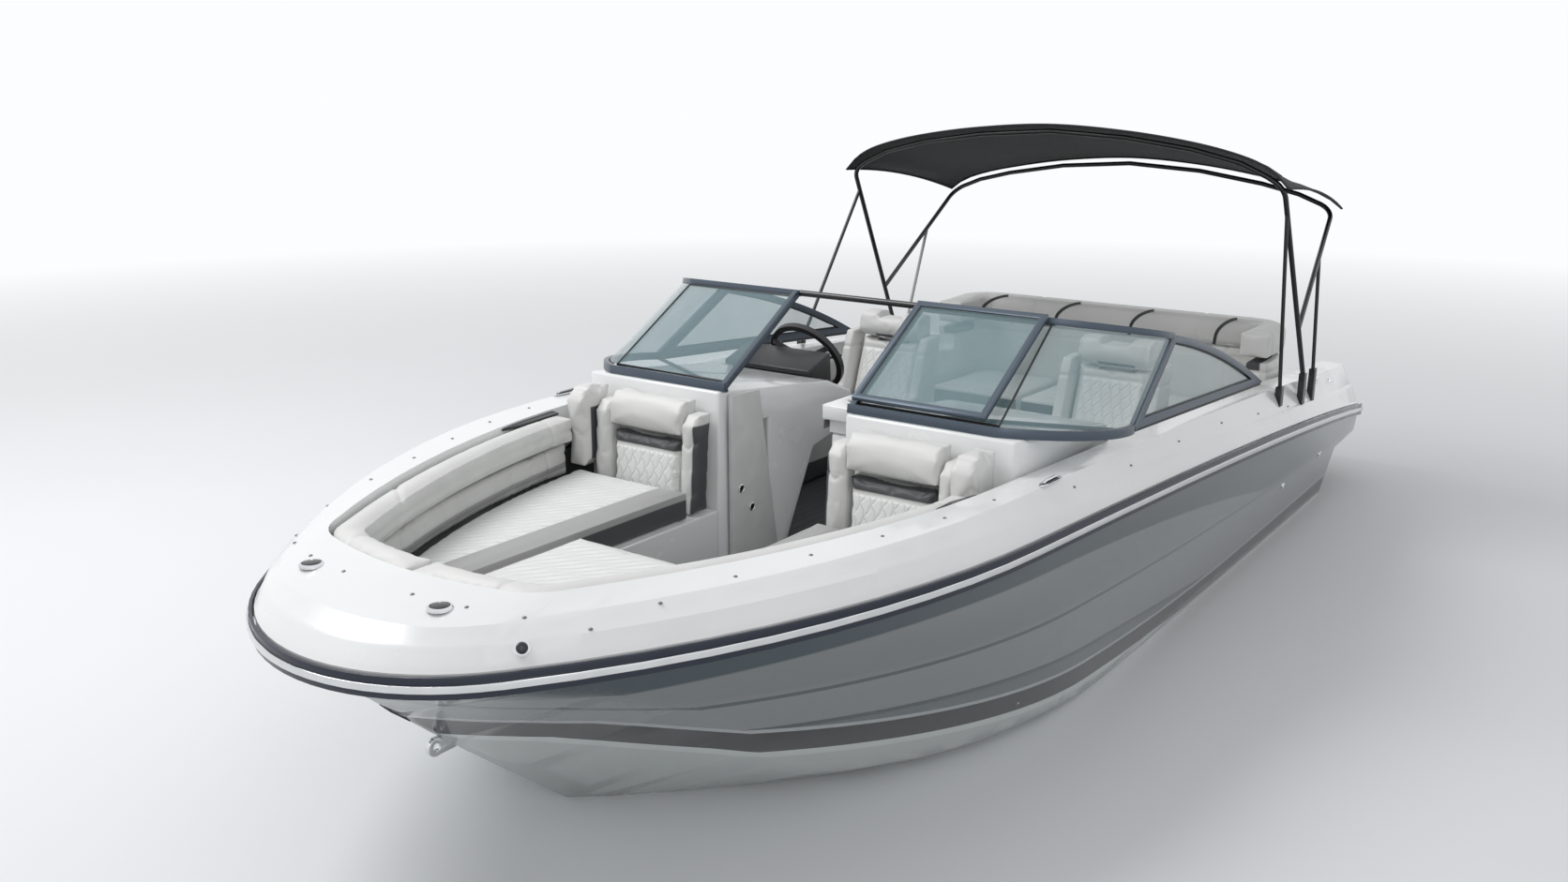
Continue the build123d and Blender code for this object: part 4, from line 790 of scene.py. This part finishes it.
def press_seams(piece, seams):
    """Sewn channels: points near a seam's plane, inside its box, go in along their normals."""
    co = points_of(piece)
    normals = np.empty(co.size)
    piece.data.vertices.foreach_get("normal", normals)
    folded = co * (1, 0, 1) + np.abs(co) * (0, 1, 0)
    depth = np.zeros(len(co))
    for direction, offset, low, high in seams:
        run = np.array(direction, dtype=float)
        run /= np.linalg.norm(run)
        away = np.abs(folded @ run - offset)
        inside = np.all((folded >= low) & (folded <= high), axis=1)
        depth = np.maximum(depth, inside * np.clip(1 - away / SEAM_WIDTH, 0, 1) ** 0.7)
    put_points(piece, co - normals.reshape(-1, 3) * depth[:, None] * SEAM_DEPTH)


BOLSTER_FOOT_Z = 0.768
BOLSTER_REACH = 0.08
BOLSTER_DROP = 0.042


def rest_on_cushion(piece):
    """Lower edge of a bolster pressed down on to the seat cushion beside it."""
    co = points_of(piece)
    share = np.clip(1 - (co[:, 2] - BOLSTER_FOOT_Z) / BOLSTER_REACH, 0, 1)
    co[:, 2] -= share * BOLSTER_DROP
    put_points(piece, co)


FAR = 9.0
ALL_LOW, ALL_HIGH = (-FAR, 0.0, -FAR), (FAR, FAR, FAR)


def seat_seams(inner, outer):
    """Seams of a helm or companion seat: along both sides and under the head pad."""
    front = (-0.19, FAR, FAR)
    sides = tuple(((0, 1, 0), side, ALL_LOW, front) for side in (inner, outer))
    return (*sides, ((0, 0, 1), 0.985, ALL_LOW, (FAR, FAR, 1.04)))


# Seams of each node: direction across the seam, distance along it, and the box that holds the seam
SEAMS = {
    "bow_seat_cushions": (
        ((0, 1, 0), 0.430, (-FAR, 0.0, 0.72), (1.96, FAR, FAR)),
        ((0, 1, 0), 0.430, (1.96, 0.30, 0.72), ALL_HIGH),
        ((1, 0, 0), 2.010, (-FAR, 0.0, 0.72), (FAR, 0.284, FAR)),
        ((0, 1, 0), 0.880, (-FAR, 0.5, 0.72), ALL_HIGH),
    ),
    "bow_bolsters": (
        ((1, 0, 0), 1.520, (-FAR, 0.7, -FAR), ALL_HIGH),
        ((0.85, 0.5, 0), 2.450, (-FAR, 0.55, -FAR), ALL_HIGH),
        ((0, 1, 0), 0.330, (2.4, 0.0, -FAR), ALL_HIGH),
        ((0, 0, 1), 0.823, ALL_LOW, ALL_HIGH),
        ((0, 0, 1), 0.932, ALL_LOW, ALL_HIGH),
    ),
    "bow_backrests": (
        ((0, 0, 1), 0.882, (-FAR, 0.392, 0.64), (FAR, 0.772, 0.945)),
        ((0, 1, 0), 0.410, (1.24, 0.392, 0.64), (FAR, 0.772, 0.945)),
        ((0, 1, 0), 0.754, (1.24, 0.392, 0.64), (FAR, 0.772, 0.945)),
        ((1, 0, 0), 1.225, (-FAR, 0.388, 0.948), (FAR, 0.776, FAR)),
        ((1, 0, 0), 1.325, (-FAR, 0.856, -FAR), (FAR, FAR, FAR)),
        ((1, 0, 0), 1.230, (-FAR, 0.856, -FAR), (FAR, FAR, FAR)),
    ),
    "helm_seat": seat_seams(0.455, 0.785),
    "companion_seat": seat_seams(0.445, 0.755),
    "side_panels": (((0, 0, 1), 0.60, ALL_LOW, ALL_HIGH), ((0, 0, 1), 0.70, ALL_LOW, ALL_HIGH)),
    "aft_bench_cushion": (
        ((1, 0, 0), -1.500, (-FAR, 0.0, 0.59), ALL_HIGH),
        ((0, 1, 0), 0.560, (-FAR, 0.3, 0.59), ALL_HIGH),
        ((1, 0, 0), -1.990, (-FAR, 0.0, 0.59), ALL_HIGH),
    ),
    "aft_backrest": (
        ((0, 1, 0), 0.330, ALL_LOW, (FAR, FAR, 0.934)),
        ((0, 1, 0), 0.650, ALL_LOW, (FAR, FAR, 0.934)),
        ((0, 0, 1), 0.864, ALL_LOW, ALL_HIGH),
        ((0, 1, 0), 0.490, (-FAR, 0.0, 0.936), ALL_HIGH),
        ((1, 0, 0), -1.800, (-FAR, 0.0, 0.936), ALL_HIGH),
    ),
    "sunpad": (((0, 1, 0), 0.205, ALL_LOW, ALL_HIGH), ((0, 1, 0), 0.40, ALL_LOW, ALL_HIGH)),
}
# Node, material, voxel size and how far a point may swell
SOFT_NODES = (
    ("bow_seat_cushions", "bow_cushion", 0.010, 0.014),
    ("bow_bolsters", "bolster", 0.009, 0.016),
    ("bow_backrests", "bow_back", 0.007, 0.013),
    ("helm_seat", "seat", 0.009, 0.014),
    ("companion_seat", "seat", 0.009, 0.014),
    ("side_panels", "side_panel", 0.010, 0.008),
    ("aft_bench_cushion", "aft_cushion", 0.010, 0.014),
    ("aft_backrest", "aft_back", 0.010, 0.014),
    ("sunpad", "light", 0.010, 0.014),
)
PADS = []
for node, material, voxel, cap in SOFT_NODES:
    whole = merged_copy(node)
    whole.verts.index_update()
    for count, group in enumerate(islands(whole)):
        pad = start_pad(f"pad_{node}_{count}", split_copy(whole, group), voxel, material)
        PADS.append((pad, node, cap))
    whole.free()
swell(PADS)
for pad, node, _ in PADS:
    if node == "bow_bolsters":
        rest_on_cushion(pad)
    press_seams(pad, SEAMS[node])
    smooth(pad.data, PAD_SHARP_ANGLE)
    settle(pad, body_of_node(node), slot_of(node), node)


# Front, middle and rear arch of the canopy: x, then y and z from the crown out
CANOPY_ARCHES = (
    (-1.065, (
        (0.0, 2.117), (0.400, 2.094), (0.740, 2.048), (0.980, 1.992), (1.110, 1.935), (1.192, 1.858),
    )),
    (-1.6125, (
        (0.0, 2.0045), (0.405, 1.980), (0.750, 1.930), (0.970, 1.879), (1.0925, 1.8285), (1.179, 1.809),
    )),
    (-2.160, (
        (0.0, 1.912), (0.410, 1.886), (0.760, 1.832), (0.960, 1.786), (1.075, 1.742), (1.150, 1.690),
    )),
)
CANOPY_ACROSS = 64
CANOPY_ALONG = 28
CANOPY_PULLS = 6
CANOPY_PULL_DEPTH = 0.0015
CLOTH_T = 0.003
HEM_DROP = 0.006
HEM_RADIUS = 0.007
BOW_SEAM_ROW = 2
BOW_SEAM_RADIUS = 0.0035


def canopy_rows():
    """Points of the stretched cloth: rows from the front edge to the rear, starboard to port."""
    lines = []
    for x, arch in CANOPY_ARCHES:
        whole = [(x, -y, z) for y, z in reversed(arch)] + [(x, y, z) for y, z in arch[1:]]
        lines.append(smooth_line(whole, CANOPY_ACROSS + 1) * (1, 0.995, 1) - (0, 0, CLOTH_T))
    front, middle, rear = lines
    rows = []
    for t in np.linspace(0, 1, CANOPY_ALONG + 1):
        row = front * (1 - t) * (1 - 2 * t) + middle * 4 * t * (1 - t) + rear * t * (2 * t - 1)
        waves = np.sin(np.linspace(0, math.pi * CANOPY_PULLS, CANOPY_ACROSS + 1))
        row[:, 2] += waves * math.sin(math.pi * t) * CANOPY_PULL_DEPTH
        rows.append(row)
    return rows


def canopy():
    """Canopy as one curved sheet over the bows, with a hem round it and a seam by each bow."""
    rows = canopy_rows()
    shape = bmesh.new()
    grid = [[shape.verts.new(Vector(p)) for p in row] for row in rows]
    for near, after in zip(grid, grid[1:]):
        for k in range(CANOPY_ACROSS):
            shape.faces.new((near[k], near[k + 1], after[k + 1], after[k]))
    bmesh.ops.recalc_face_normals(shape, faces=shape.faces)
    if sum(f.normal.z for f in shape.faces) < 0:
        bmesh.ops.reverse_faces(shape, faces=shape.faces)
    sheet = new_object("canopy_sheet", mesh_of(shape, "canopy_sheet"), "canvas")
    wall = sheet.modifiers.new("wall", "SOLIDIFY")
    wall.thickness = CLOTH_T
    wall.offset = -1.0
    baked(sheet)
    smooth(sheet.data, 60.0)
    settle(sheet, "root", "canvas", "canopy")
    edges = {
        "front": rows[0],
        "rear": rows[-1],
        "port": np.array([row[-1] for row in rows]),
        "starboard": np.array([row[0] for row in rows]),
    }
    cloth = {"material": "canvas", "slot": "canvas"}
    for name, line in edges.items():
        low = line - (0, 0, HEM_DROP)
        rod(f"canopy_hem_{name}", low[::2], HEM_RADIUS, flat=0.7, **cloth)
    for name, row in (("front", rows[BOW_SEAM_ROW]), ("rear", rows[-1 - BOW_SEAM_ROW])):
        line = row[2:-2:2] + (0, 0, 0.001)
        rod(f"canopy_seam_{name}", line, BOW_SEAM_RADIUS, **cloth)


canopy()


DECK_TREE = fine_tree("deck")
HULL_TREE = fine_tree("hull")
UP = (0, 0, 1)
OVER_ALL_Z = 3.0


def on_top(x, y):
    """Highest point of the deck at a place, or None beside it."""
    return DECK_TREE.ray_cast(Vector((x, y, OVER_ALL_Z)), Vector((0, 0, -1)))[0]


BOW_LIGHT_X, BOW_LIGHT_Y = 3.055, 0.28
LIGHT_RING = (
    (0.0, 0.0), (0.0362, 0.0), (0.0362, 0.006), (0.033, 0.0098), (0.0285, 0.0098), (0.027, 0.004),
    (0.0, 0.004),
)
LIGHT_LENS = (
    (0.0, 0.002), (0.0265, 0.002), (0.0265, 0.007), (0.020, 0.0098), (0.010, 0.0103), (0.0, 0.0103),
)
CLEAT_X, CLEAT_Y = 1.17, 1.138
# Oval plates of a cleat: name, half length, half width, lower and upper z, material
CLEAT_PLATES = (
    ("plate", 0.075, 0.0165, 1.0135, 1.019, "chrome"),
    ("well", 0.060, 0.0110, 1.0175, 1.0205, "gloss_black"),
)
CLEAT_BAR = ((1.115, 1.0215), (1.135, 1.026), (1.205, 1.026), (1.225, 1.0215))


def oval(x, y, z, half_x, half_y, count=32):
    """Outline of a long oval with blunt ends."""
    turns = [2 * math.pi * k / count for k in range(count)]
    blunt = [math.copysign(abs(math.cos(turn)) ** 0.6, math.cos(turn)) for turn in turns]
    return [(x + half_x * c, y + half_y * math.sin(turn), z) for c, turn in zip(blunt, turns)]


def light_and_cleat():
    """Flush bow lights and pull-up cleats, in place of the plain fittings."""
    for side, name in SIDES:
        place = on_top(BOW_LIGHT_X, side * BOW_LIGHT_Y)
        turned(f"bow_light_ring_{name}", LIGHT_RING, place, UP, "chrome", nodes=("deck_fittings",))
        turned(f"bow_light_lens_{name}", LIGHT_LENS, place, UP, "gloss_black")
        y = side * CLEAT_Y
        for part, half_x, half_y, low, high, material in CLEAT_PLATES:
            outline = oval(CLEAT_X, y, low, half_x, half_y)
            slab(f"cleat_{part}_{name}", outline, high - low, UP, material, "chrome", 0.001)
        bar = [(x, y, z) for x, z in CLEAT_BAR]
        rod(f"cleat_bar_{name}", bar, 0.005, "chrome", slot="chrome")


light_and_cleat()


# Press studs: radius, sides, rings, height as a share of the radius, and places on the port side
SNAP_RADIUS = 0.0065
SNAP_SIDES = 12
SNAP_RINGS = 7
SNAP_RISE = 0.55
SNAP_PLACES = (
    (1.45, 1.075), (1.70, 1.035), (1.95, 0.965), (2.20, 0.880), (2.45, 0.800), (2.68, 0.725),
    (2.86, 0.640), (2.96, 0.500), (3.015, 0.340), (3.04, 0.150), (1.056, 1.175), (0.62, 1.200),
    (0.15, 1.205), (-0.35, 1.205), (-0.85, 1.205), (-1.35, 1.195),
)


def snap_tree():
    """Node tree that sets a low dome on every point of a mesh, and its radius socket."""
    tree = bpy.data.node_groups.new("snap_row", "GeometryNodeTree")
    face = tree.interface
    face.new_socket("Points", in_out="INPUT", socket_type="NodeSocketGeometry")
    radius = face.new_socket("Snap radius", in_out="INPUT", socket_type="NodeSocketFloat")
    face.new_socket("Snaps", in_out="OUTPUT", socket_type="NodeSocketGeometry")
    row = Nodes(tree)
    points = row.node("NodeGroupInput")
    size = Tone(row, points.socket.node.outputs["Snap radius"])
    sizes = {"Segments": SNAP_SIDES, "Rings": SNAP_RINGS, "Radius": size}
    dome = row.node("GeometryNodeMeshUVSphere", None, sizes)
    sockets = {"Points": points, "Instance": dome, "Scale": (1.0, 1.0, SNAP_RISE)}
    real = row.node("GeometryNodeRealizeInstances", None,
                    {0: row.node("GeometryNodeInstanceOnPoints", None, sockets)})
    sockets = {"Geometry": real, "Material": MATERIALS["snap"].material}
    painted = row.node("GeometryNodeSetMaterial", None, sockets)
    row.connect(tree.nodes.new("NodeGroupOutput").inputs[0], painted)
    return tree, radius.identifier


def snaps():
    """Press studs for the covers, along the bow opening and the upper band."""
    mesh = bpy.data.meshes.new("snaps")
    hits = [on_top(x, side * y) for x, y in SNAP_PLACES for side, _ in SIDES]
    mesh.from_pydata([hit for hit in hits if hit], [], [])
    piece = new_object("snaps", mesh)
    tree, radius = snap_tree()
    scatter = piece.modifiers.new("scatter", "NODES")
    scatter.node_group = tree
    scatter[radius] = SNAP_RADIUS
    baked(piece)
    if not piece.data.materials:
        piece.data.materials.append(MATERIALS["snap"].material)
    smooth(piece.data, 60.0)
    settle(piece, "root", "chrome")


snaps()


GASKET_RADIUS = 0.0055
FOOT_RADIUS = 0.009
# Line of the windshield's foot on the port side
FOOT_LINE = ((1.112, 0.300, 1.126), (0.545, 1.158, 1.062), (-1.060, 1.134, 0.954))


def pane_gaskets(node, body):
    """Black rubber round each pane: a bead along the outline of the pane's large faces."""
    shape = merged_copy(node)
    shape.verts.index_update()
    shape.faces.index_update()
    for count, group in enumerate(islands(shape)):
        faces = {f for v in group for f in v.link_faces}
        # A flat pane's two large faces have the same area, so the index settles which is first
        faces = sorted(faces, key=lambda f: (-f.calc_area(), f.index))
        first = [v.co.copy() for v in faces[0].verts]
        second = [v.co.copy() for v in faces[1].verts]
        line = [(p + min(second, key=lambda q: (q - p).length)) / 2 for p in first]
        rod(f"gasket_{node}_{count}", line, GASKET_RADIUS, "gasket", body, closed=True)
    shape.free()


pane_gaskets("windshield_glass", "root")
pane_gaskets("windshield_door_glass", "windshield_door")
for side, name in SIDES:
    foot = [(x, side * y, z) for x, y, z in FOOT_LINE]
    rod(f"windshield_foot_{name}", foot, FOOT_RADIUS, "gasket")


def on_face(tree, start, direction):
    """Place where a ray meets a surface, and the normal on the ray's side of it."""
    hit, normal, _, _ = tree.ray_cast(Vector(start), Vector(direction).normalized())
    if hit and normal.dot(Vector(direction)) >= 0:
        normal = -normal
    return hit, normal


# Dials on the dash: y and radius; the height of their centres, and a place behind them
DIALS = ((-0.52, 0.032), (-0.62, 0.046), (-0.74, 0.046))
DIAL_Z = 1.055
BEHIND_DASH_X = -0.3
DIAL_TICKS = 9


def gauges():
    """Three dials on the dash, each a chrome bezel round a black face with pale ticks."""
    tree = fine_tree("dash_pod")
    for count, (y, radius) in enumerate(DIALS):
        hit, normal = on_face(tree, (BEHIND_DASH_X, y, DIAL_Z), (1, 0, 0))
        if not hit:
            continue
        bezel = [(0.0, 0.0), (radius, 0.0), (radius, 0.006), (radius - 0.004, 0.009)]
        bezel += [(radius - 0.007, 0.005), (0.0, 0.005)]
        turned(f"gauge_bezel_{count}", bezel, hit, normal, "chrome")
        face = [(0.0, 0.002), (radius - 0.006, 0.002), (radius - 0.007, 0.006), (0.0, 0.0065)]
        turned(f"gauge_dial_{count}", face, hit, normal, "gauge", slot="black_plastic")
        side = normal.orthogonal().normalized()
        other = normal.cross(side)
        for k in range(DIAL_TICKS):
            turn = math.pi * (0.25 + k * 1.5 / (DIAL_TICKS - 1))
            out = side * math.cos(turn) + other * math.sin(turn)
            near = hit + normal * 0.0068 + out * (radius - 0.017)
            rod(f"gauge_tick_{count}_{k}", [near, near + out * 0.007], 0.0009, "trim", sides=5)


gauges()


WHEEL_CENTRE = Vector((0.06, -0.65, 1.05))
WHEEL_AXIS = Vector((-0.866, 0, 0.5))
WHEEL_CAP = (
    (0.0, 0.0), (0.036, 0.0), (0.036, 0.005), (0.031, 0.010), (0.015, 0.013), (0.0, 0.0135),
)
WHEEL_RING = (
    (0.036, 0.0), (0.040, 0.0), (0.040, 0.006), (0.036, 0.008), (0.0355, 0.004), (0.0355, 0.0),
)


def wheel_hub():
    """Plain cap on the wheel's hub, in a chrome ring."""
    start = WHEEL_CENTRE + WHEEL_AXIS * 0.3
    hit, _ = on_face(fine_tree("steering_wheel"), start, -WHEEL_AXIS)
    if hit:
        rest = (hit, WHEEL_AXIS)
        turned("wheel_cap", WHEEL_CAP, *rest, "gloss_black", "steering_wheel", "black_plastic")
        turned("wheel_ring", WHEEL_RING, *rest, "chrome", "steering_wheel", "black_plastic")


wheel_hub()


LEVER_HUB = ((0.0, 0.0), (0.034, 0.0), (0.034, 0.012), (0.026, 0.020), (0.0, 0.021))
LEVER_LINE = ((0.05, -0.882, 0.93), (0.04, -0.876, 1.00), (0.012, -0.870, 1.075))
LEVER_RADII = (0.011, 0.011, 0.011, 0.011, 0.011, 0.010, 0.009, 0.008, 0.008)
GRIP_RADII = (0.012, 0.017, 0.017, 0.012)


def throttle():
    """Control lever on the side of the helm."""
    turned("throttle_hub", LEVER_HUB, (0.05, -0.9, 0.93), (0, 1, 0), "chrome", slot="black_plastic")
    arm = smooth_line(LEVER_LINE, len(LEVER_RADII))
    rod("throttle_arm", arm, LEVER_RADII, "chrome", flat=0.7)
    grip = [(0.010, y, 1.080) for y in (-0.884, -0.876, -0.846, -0.838)]
    rod("throttle_grip", grip, GRIP_RADII, "leather", sides=14)


throttle()


def latch(name, place, radius):
    """Round flush latch on the locker door: chrome ring, black pull."""
    ring = [(0.0, -0.002), (radius, -0.002), (radius, 0.003), (radius * 0.8, 0.005)]
    ring += [(radius * 0.7, 0.003), (0.0, 0.003)]
    pull = [(0.0, 0.001), (radius * 0.66, 0.001), (radius * 0.66, 0.0045), (0.0, 0.006)]
    for part, profile, material in (("ring", ring, "chrome"), ("pull", pull, "gloss_black")):
        turned(f"latch_{part}_{name}", profile, place, (0, 1, 0), material, "locker_door", steps=24)


LATCH_RADIUS = 0.018
latch("door_upper", (1.060, -0.270, 0.711), LATCH_RADIUS)
latch("door_lower", (0.990, -0.270, 0.616), LATCH_RADIUS)


CUP_LIP = (
    (0.0405, -0.002), (0.050, -0.002), (0.0505, 0.002), (0.048, 0.004), (0.0415, 0.004),
    (0.0395, 0.001), (0.0405, -0.002),
)
CUP_WALL = (
    (0.0, -0.090), (0.0400, -0.090), (0.0410, -0.012), (0.0385, -0.012), (0.0375, -0.087),
    (0.0, -0.087),
)
# Black lip and liner in the ledge's cup hole
turned("cup_lip", CUP_LIP, (0.925, 0.214, 1.0675), (0.387, 0, 0.922), "gloss_black", slot="black_plastic")
turned("cup_wall", CUP_WALL, (0.925, 0.214, 1.0665), UP, "black", slot="black_plastic")


# Dark webbing straps round the rear roll: x and z of their line, and the y of each
STRAP_LINE = (
    (-2.190, 0.985), (-2.165, 1.045), (-2.080, 1.072), (-1.960, 1.078), (-1.840, 1.070),
    (-1.755, 1.042), (-1.728, 0.985),
)
STRAPS_Y = (-0.686, -0.22, 0.22, 0.686)
STRAP_HALF_WIDTH = 0.009
STRAP_FLATNESS = 0.10
for count, y in enumerate(STRAPS_Y):
    line = smooth_line([(x, y, z) for x, z in STRAP_LINE], 30)
    strap = {"slot": "vinyl_dark", "flat": STRAP_FLATNESS, "sides": 10}
    rod(f"roll_strap_{count}", line, STRAP_HALF_WIDTH, "webbing", **strap)


# Rings on the hull's sides: name, place near them on the port side, radius
HULL_RINGS = (
    ("bow_ring", 3.130, 0.469, 0.740, 0.020),
    ("stern_drain_aft", -2.304, 1.270, 0.300, 0.018),
    ("stern_drain_fore", -1.571, 1.270, 0.300, 0.015),
)
STUD_BASE = ((0.0, -0.003), (0.022, -0.003), (0.022, 0.003), (0.017, 0.006), (0.0, 0.006))
STUD_BALL = (
    (0.0, 0.004), (0.007, 0.006), (0.006, 0.014), (0.014, 0.020), (0.016, 0.028), (0.012, 0.036),
    (0.0, 0.040),
)
BOW_STUD_NEAR = (3.060, 0.597, 0.940)
# Stern cleats and lamps: places on the port side, x and y
STERN_CLEAT_X, STERN_CLEAT_Y = -2.02, 1.13
STERN_LAMP_X, STERN_LAMP_Y = -2.45, 1.10
STERN_FEET_X = (-2.06, -1.98)
STERN_FOOT = ((0.0, -0.004), (0.010, -0.004), (0.008, 0.024), (0.0, 0.024))
# Stern cleat's horn: x and height over the deck
STERN_HORN = ((-2.115, 0.026), (-2.06, 0.024), (-1.98, 0.024), (-1.925, 0.026))
STERN_LAMP = ((0.0, -0.002), (0.018, -0.002), (0.018, 0.006), (0.013, 0.014), (0.0, 0.018))
STEM_DARK_LINE = ((3.052, 0.0, 0.622), (3.016, 0.0, 0.585), (2.962, 0.0, 0.525))


def hull_rings():
    """Chrome rings of the bow fitting and the drains, set on the hull's sides."""
    for name, x, y, z, radius in HULL_RINGS:
        ring = [(0.0, -0.002), (radius, -0.002), (radius, 0.003), (radius * 0.8, 0.006)]
        ring += [(radius * 0.6, 0.003), (0.0, 0.001)]
        for side, label in SIDES:
            near, normal, _, _ = HULL_TREE.find_nearest(Vector((x, side * y, z)))
            if normal.dot(Vector((0.2, side, 0))) < 0:
                normal = -normal
            turned(f"{name}_{label}", ring, near, normal, "chrome", steps=24)


def bow_stud():
    """Ball fitting on the deck's outer slope at the port bow."""
    hit, normal, _, _ = DECK_TREE.find_nearest(Vector(BOW_STUD_NEAR))
    turned("bow_stud_base", STUD_BASE, hit, normal, "chrome", steps=24)
    turned("bow_stud", STUD_BALL, hit, normal, "gloss_black", steps=24)


def stern_fittings():
    """A cleat and a lamp on each side of the deck's stern."""
    for side, label in SIDES:
        y = side * STERN_CLEAT_Y
        hit = on_top(STERN_CLEAT_X, y)
        if hit:
            for k, x in enumerate(STERN_FEET_X):
                name = f"stern_cleat_foot_{label}_{k}"
                turned(name, STERN_FOOT, (x, y, hit.z), UP, "chrome", steps=16)
            horn = [(x, y, hit.z + rise) for x, rise in STERN_HORN]
            radii = [0.005, 0.009, 0.009, 0.005]
            rod(f"stern_cleat_horn_{label}", horn, radii, "chrome", slot="chrome")
        hit = on_top(STERN_LAMP_X, side * STERN_LAMP_Y)
        if hit:
            turned(f"stern_lamp_{label}", STERN_LAMP, hit, UP, "chrome", steps=24)


hull_rings()
bow_stud()
stern_fittings()
# Dark line down the stem over the bow eye
stem_line_points = [HULL_TREE.find_nearest(Vector(point))[0] for point in STEM_DARK_LINE]
rod("stem_dark_line", stem_line_points, [0.002, 0.005, 0.002], "gasket", slot="dark_rail")


# Forward ends of the pockets, port and starboard
POCKET_ENDS = (1.60, 1.72)


def pocket_shade_plates():
    """Gloss black plates between the coaming and the bow bolsters: painted shade of the moulded pockets
    there.
    """
    for (side, name), forward in zip(SIDES, POCKET_ENDS):
        outline = [(1.385, 0.968, 0.982), (1.385, 1.020, 0.988), (forward - 0.08, 0.985, 0.988)]
        outline += [(forward, 0.945, 0.984), (forward - 0.10, 0.940, 0.982)]
        outline = [(x, side * y, z) for x, y, z in outline]
        slab(f"bow_pocket_shade_{name}", outline, 0.010, UP, "gloss_black")


pocket_shade_plates()


def ledge_plate():
    """Dark plate on the aisle side of the cup ledge."""
    low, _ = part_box("cup_ledge")
    y, foot, head = low.y - 0.001, low.z + 0.012, low.z + 0.075
    outline = [(0.815, y, foot), (1.045, y, foot), (1.045, y, head - 0.030), (0.815, y, head)]
    slab("ledge_plate", outline, 0.004, (0, -1, 0), "panel", radius=0.0015)


ledge_plate()


def panel_on(name, node, start, width, height):
    """Thin moulded panel on the rear face of a console, ahead of a place."""
    hit, normal = on_face(fine_tree(node), start, (1, 0, 0))
    if hit is None:
        return
    side = Vector((0, 1, 0))
    side = (side - normal * side.dot(normal)).normalized()
    up = normal.cross(side)
    corners = [(-1, -1), (1, -1), (1, 1), (-1, 1)]
    outline = [hit + side * (a * width / 2) + up * (b * height / 2) - normal * 0.001 for a, b in corners]
    slab(name, outline, 0.007, normal, "panel")


panel_on("glovebox", "port_console", (-0.6, 0.60, 0.97), 0.52, 0.10)
panel_on("helm_lower", "helm_console", (-0.6, -0.66, 0.88), 0.50, 0.11)


RIB_COUNT = 8
RIB_RADIUS = 0.006
# Distance of the ribs from the platform's front, rear and side edges
RIB_END_GAP, RIB_SIDE_GAP = 0.07, 0.06


def platform_grip():
    """Rows of low ribs on the swim platform's mat."""
    low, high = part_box("swim_platform")
    reach = high.y - RIB_SIDE_GAP
    rib = {"slot": "sole_mat", "flat": 0.5, "sides": 10}
    for count, x in enumerate(np.linspace(low.x + RIB_END_GAP, high.x - RIB_END_GAP, RIB_COUNT)):
        line = [(x, y, high.z + 0.0005) for y in (-reach, 0.0, reach)]
        rod(f"platform_rib_{count}", line, RIB_RADIUS, "gasket", **rib)


platform_grip()


SKY = (0.97, 0.985, 1.0)
WORLD_LEVEL = 0.60
FLOOR_HALF = 60.0
FLOOR_TONE = (0.78, 0.79, 0.80)
# Distances from the boat's middle between which the floor turns white
FLOOR_FADE = (4.5, 15.0)
LAMP_AIM = (0.3, 0.0, 0.6)
# Name, place, diameter and watts
LAMPS = (
    ("key", (3.6, -4.6, 7.6), 4.6, 410.0),
    ("fill", (8.0, 6.0, 5.0), 6.0, 110.0),
)


def seen_directly(nodes):
    """One for what the camera sees, also in metal and through glass."""
    path = nodes.node("ShaderNodeLightPath").socket.node
    rays = [Tone(nodes, path.outputs[f"Is {ray} Ray"]) for ray in ("Camera", "Glossy", "Transmission")]
    return rays[0].most(rays[1]).most(rays[2])


def lay_floor():
    """Pale floor at the waterline that turns white far out."""
    mesh = bpy.data.meshes.new("floor")
    corners = [(x * FLOOR_HALF, y * FLOOR_HALF, 0) for x, y in ((-1, -1), (1, -1), (1, 1), (-1, 1))]
    mesh.from_pydata(corners, [], [(0, 1, 2, 3)])
    floor = new_object("floor", mesh)
    finish = Finish("floor", FLOOR_TONE, 0.75)
    finish.paint(finish.mix(finish.noise(0.6), shade(FLOOR_TONE, 0.98), shade(FLOOR_TONE, 1.02)))
    reach = (finish.x * finish.x + finish.y * finish.y) ** 0.5
    far = reach.ramp(*FLOOR_FADE) * seen_directly(finish)
    near = Tone(finish, finish.shader.outputs[0])
    white = finish.node("ShaderNodeEmission", None, {"Color": SKY, "Strength": 1.0})
    surface = finish.node("ShaderNodeMixShader", None, {0: far, 1: near, 2: white})
    finish.connect(finish.tree.nodes["Material Output"].inputs["Surface"], surface)
    mesh.materials.append(finish.material)


def light_world():
    """Soft light from all sides, full white where the camera sees it."""
    world = bpy.data.worlds.new("world")
    bpy.context.scene.world = world
    world.use_nodes = True
    sky = Nodes(world.node_tree)
    background = sky.tree.nodes["Background"]
    sky.connect(background.inputs["Color"], SKY)
    sky.connect(background.inputs["Strength"], seen_directly(sky).ramp(0.0, 1.0, WORLD_LEVEL, 1.0))


def hang_lamps():
    """Two large round lamps turned to the boat."""
    for name, place, size, watts in LAMPS:
        lamp = bpy.data.lights.new(name, "AREA")
        lamp.shape = "DISK"
        lamp.size = size
        lamp.energy = watts
        made = bpy.data.objects.new(name, lamp)
        made.location = place
        made.rotation_euler = (Vector(place) - Vector(LAMP_AIM)).to_track_quat("Z", "Y").to_euler()
        bpy.context.scene.collection.objects.link(made)


lay_floor()
light_world()
hang_lamps()
bpy.context.scene.view_settings.view_transform = "Standard"
